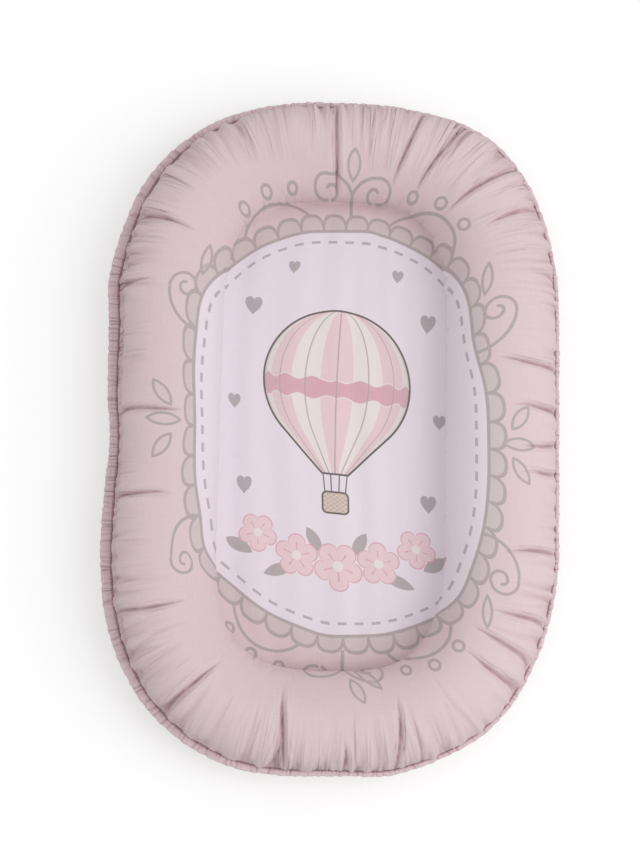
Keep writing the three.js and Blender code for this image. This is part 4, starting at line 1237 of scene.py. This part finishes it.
# Its dark pink is partly the thread's own dye and partly painted shade along the seams
finish(shader, paint(twist, dyed(150, 112, 122), dyed(196, 160, 168)), twist * 0.2 + 0.5, bump(twist, 0.0001, 0.7))
rim_path = np.concatenate([rim_centre + rim_out * (rim_start + RIM_SEWN_OUT)[:, None],
                           np.full((RUCHE_STATIONS, 1), CASING_MIDDLE + CASING_HALF_HEIGHT * RIM_SEWN_UP)], 1)
rim_path = np.vstack([rim_path, rim_path[:1]])
rim_up = np.vstack([np.column_stack([-rim_out * 0.6, np.full(RUCHE_STATIONS, 0.8)])] * 2)[:RUCHE_STATIONS + 1]
rim_stitches = stitch_row("rim_stitches", rim_path, rim_up, RIM_PITCH, STITCH_LENGTH)
seam_path = np.column_stack([centre - outward * (half_width + FLOOR_SEWN_IN)[:, None],
                             trial.seam_height - FLOOR_SEWN_LOW])
seam_path = np.vstack([seam_path, seam_path[:1]])
seam_up = np.tile((0.0, 0.0, 1.0), (STATIONS + 1, 1))
floor_stitches = stitch_row("floor_stitches", seam_path, seam_up, FLOOR_PITCH, STITCH_LENGTH)
for row, stood_for in ((rim_stitches, "rim_seam_thread"), (floor_stitches, "floor_seam_thread")):
    face_out(row)
    row.data.materials.append(pink_thread)
    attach(row, "nest")
    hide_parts(stood_for)

# 7. The zip in the base cover.
# Two woven tapes, each with a nylon coil along its edge, sewn behind the slot's hem, and closed off by metal stops.
TAPE_END, TAPE_INNER, TAPE_OUTER, TAPE_LOW, TAPE_HIGH = 0.1344, 0.0006, 0.0150, 0.0085, 0.0092
TAPE_TRIM, TRIM_LENGTH = 0.0065, 0.0059  # the outer corners of the tapes are cut off slanting
COIL_END, COIL_INNER, COIL_OUTER, COIL_LOW, COIL_HIGH = 0.1244, 0.00044, 0.0032, 0.0060, 0.0082
TURN_PITCH, GAUGE, FIRST_TURN = 0.00140, 0.00030, 0.0005  # of the coil's nylon thread
SIDES, STEPS = 6, 14  # of its section, and in one of its turns
tape_weave, tree, shader = material("zip_tape_weave")
where = parts_of(own_place(tree))
twill = calc("SINE", where[0] * 4200.0 + calc("PINGPONG", where[1] * 1000.0, 1.2) * 5.0)
finish(shader, paint(twill * 0.5 + 0.5, dyed(203, 176, 182), dyed(228, 206, 210)), twill * 0.08 + 0.75,
       bump(twill, 0.0002, 0.7))
nylon, tree, shader = material("zip_nylon")
cloudy = noise(own_place(tree), 700.0)
finish(shader, paint(cloudy, dyed(214, 190, 196), dyed(236, 218, 222)), cloudy * 0.2 + 0.28,
       bump(cloudy, 0.00005, 0.5))

for side_name, side in (("foot", -1), ("head", 1)):
    lengths = np.linspace(-TAPE_END, TAPE_END, 180)
    steps = [TAPE_INNER] + [TAPE_OUTER * share for share in (0.25, 0.6, 0.97)]
    section = [(y, TAPE_LOW) for y in steps] + [(TAPE_OUTER, (TAPE_LOW + TAPE_HIGH) / 2)]
    section += [(y, TAPE_HIGH) for y in steps[::-1]]
    trimmed = 1 - TAPE_TRIM / TAPE_OUTER * np.clip((np.abs(lengths) - TAPE_END) / TRIM_LENGTH + 1, 0, 1)
    points = [(x, ZIP_Y + side * y * (trim if y > TAPE_INNER else 1), z + 0.00008 * math.sin(x * 260 + y * 500))
              for x, trim in zip(lengths, trimmed) for y, z in section]
    tape = make_piece("zip_tape_" + side_name + "_woven", points, bar_faces(len(lengths), len(section)))
    face_out(tape)
    tape.data.materials.append(tape_weave)
    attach(tape, "nest")
    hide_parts("zip_tape_" + side_name)

    # The coil: one nylon thread wound round and round, flattened, with a head at the middle of the zip
    turns_count = int((2 * COIL_END - 2 * FIRST_TURN) / TURN_PITCH)
    wide, tall = (COIL_OUTER - COIL_INNER) / 2 - GAUGE, (COIL_HIGH - COIL_LOW) / 2 - GAUGE
    path = []
    for step in range(turns_count * STEPS + 1):
        turn = step / STEPS * math.tau + (0 if side > 0 else math.pi)
        swing, climb = -math.cos(turn), math.sin(turn)
        path.append((-COIL_END + FIRST_TURN + step / STEPS * TURN_PITCH,
                     ZIP_Y + side * ((COIL_INNER + COIL_OUTER) / 2 + wide * math.copysign(abs(swing) ** 0.7, swing)),
                     (COIL_LOW + COIL_HIGH) / 2 + tall * math.copysign(abs(climb) ** 0.7, climb)))
    path = np.array(path)
    onward = np.gradient(path, axis=0)
    onward /= np.linalg.norm(onward, axis=1, keepdims=True)
    across_path = np.cross(onward, (1.0, 0.0, 0.0))
    across_path /= np.linalg.norm(across_path, axis=1, keepdims=True)
    third = np.cross(onward, across_path)
    spin = (np.arange(SIDES) / SIDES * math.tau)[None, :, None]
    tube = path[:, None] + GAUGE * (across_path[:, None] * np.cos(spin) + third[:, None] * np.sin(spin))
    coil = make_piece("zip_coil_" + side_name + "_wound", tube, bar_faces(len(path), SIDES))
    face_out(coil)
    coil.data.materials.append(nylon)
    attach(coil, "nest")
    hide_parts("zip_coil_" + side_name)

# The hem's stitches, which sew it to the tapes: a row along each side of the slot and across each of its ends
ROW_OUT, ROW_REACH, STITCH_HEIGHT, FINE_RADIUS = 0.0022, 0.002, BASE_LIFT - 0.0001, 0.0003
long_run = np.linspace(-SLOT_HALF_LENGTH - ROW_REACH, SLOT_HALF_LENGTH + ROW_REACH, 200)
short_run = np.linspace(-SLOT_HALF_WIDTH - ROW_REACH, SLOT_HALF_WIDTH + ROW_REACH, 20)
zip_rows = []
for side_name, side in (("foot", -1), ("head", 1)):
    plan = [(x, ZIP_Y + side * (SLOT_HALF_WIDTH + ROW_OUT)) for x in long_run]
    zip_rows.append((side_name, plan, 0.0036, 0.0027))
for side_name, side in (("left", -1), ("right", 1)):
    plan = [(side * (SLOT_HALF_LENGTH + ROW_OUT), ZIP_Y + y) for y in short_run]
    zip_rows.append((side_name, plan, 0.0030, 0.0023))
for side_name, plan, pitch, length in zip_rows:
    path = np.column_stack([plan, np.full(len(plan), STITCH_HEIGHT)])
    row = stitch_row("zip_stitches_" + side_name, path, np.tile((0.0, 0.0, -1.0), (len(plan), 1)), pitch, length,
                     FINE_RADIUS)
    face_out(row)
    row.data.materials.append(pink_thread)
    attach(row, "nest")

# 8. The slider, its pull and the stops.
# Nickel plated zinc: a body with two wings and a post that runs between the coils, and a pull that hinges in its
# bail. The stops are clamped on the ends of the coils.
nickel, tree, shader = material("nickel_plate")
where = own_place(tree)
brushed = noise(where * (900.0, 4000.0, 900.0), 1.0, 3.0)
handled = noise(where, 220.0, 4.0)
finish(shader, paint(handled, dyed(186, 184, 182), dyed(222, 221, 221)), brushed * 0.12 + 0.14 + handled * 0.14,
       bump(brushed, 0.00003, 0.6))
shader["Metallic"].default_value = 1.0
for name in ("zip_slider", "zip_pull", "zip_top_stop_head", "zip_top_stop_foot", "zip_bottom_stop"):
    part = nodes[name]
    part.data.materials.clear()
    part.data.materials.append(nickel)
    rounded = part.modifiers.new("rounded", "BEVEL")
    rounded.width, rounded.segments, rounded.limit_method = 0.00022, 3, "ANGLE"

# 9. The studio: a pale floor, one soft lamp from the right, and light from all round.
# The camera looks down from 80 degrees, as the photographer's did.
studio_floor = make_piece("studio_floor", [(-4, -4, 0), (4, -4, 0), (4, 4, 0), (-4, 4, 0)], [(0, 1, 2, 3)])
pale_floor, tree, shader = material("pale_floor")
shader["Base Color"].default_value = (0.62, 0.62, 0.62, 1)
shader["Roughness"].default_value = 0.9
shader["Emission Color"].default_value = (1, 1, 1, 1)


def seen_rays(tree):
    """1 for what the camera sees, straight or through a gloss, and 0 for the light that falls on the nest."""
    camera, glossy, clear = [Wire(tree.nodes.new("ShaderNodeLightPath").outputs[label]) for label in (
        "Is Camera Ray", "Is Glossy Ray", "Is Transmission Ray")]
    return calc("MAXIMUM", camera, calc("MAXIMUM", glossy, clear))


plug(shader["Emission Strength"], seen_rays(tree) * 0.42)
studio_floor.data.materials.append(pale_floor)

world = bpy.data.worlds.new("studio_air")
bpy.context.scene.world = world
world.use_nodes = True
air = world.node_tree
air.nodes["Background"].inputs["Color"].default_value = (1, 1, 1, 1)
plug(air.nodes["Background"].inputs["Strength"], seen_rays(air) * 0.24 + 0.76)

LAMP_PLACE = (1.9, -0.4, 2.4)  # a round lamp that faces the nest
lamp = bpy.data.lights.new("key_lamp", "AREA")
lamp.shape, lamp.size, lamp.energy = "DISK", 2.2, 31
lamp_holder = bpy.data.objects.new("key_lamp", lamp)
bpy.context.scene.collection.objects.link(lamp_holder)
lamp_holder.location = LAMP_PLACE
lamp_holder.rotation_euler = (-Vector(LAMP_PLACE)).to_track_quat("-Z", "Y").to_euler()

CAMERA_ELEVATION, CAMERA_AZIMUTH, CAMERA_ROLL = math.radians(80), math.radians(-8), math.radians(9.39)
CAMERA_DISTANCE, LENS, AIM_LEFT, AIM_UP = 2.6, 108.56, 0.0155, 0.0115
back = Vector((math.sin(CAMERA_AZIMUTH) * math.cos(CAMERA_ELEVATION),
               -math.cos(CAMERA_AZIMUTH) * math.cos(CAMERA_ELEVATION), math.sin(CAMERA_ELEVATION)))
level = Vector((math.cos(CAMERA_AZIMUTH), math.sin(CAMERA_AZIMUTH), 0))
upward = back.cross(level)
right = level * math.cos(CAMERA_ROLL) + upward * math.sin(CAMERA_ROLL)
top = upward * math.cos(CAMERA_ROLL) - level * math.sin(CAMERA_ROLL)
lens = bpy.data.cameras.new("camera")
lens.sensor_fit, lens.sensor_width, lens.lens = "HORIZONTAL", 36, LENS
camera = bpy.data.objects.new("camera", lens)
bpy.context.scene.collection.objects.link(camera)
turned = Matrix((right, top, back)).transposed().to_4x4()
turned.translation = back * CAMERA_DISTANCE - right * AIM_LEFT + top * AIM_UP
camera.matrix_world = turned
bpy.context.scene.camera = camera
bpy.context.scene.view_settings.view_transform = "Standard"
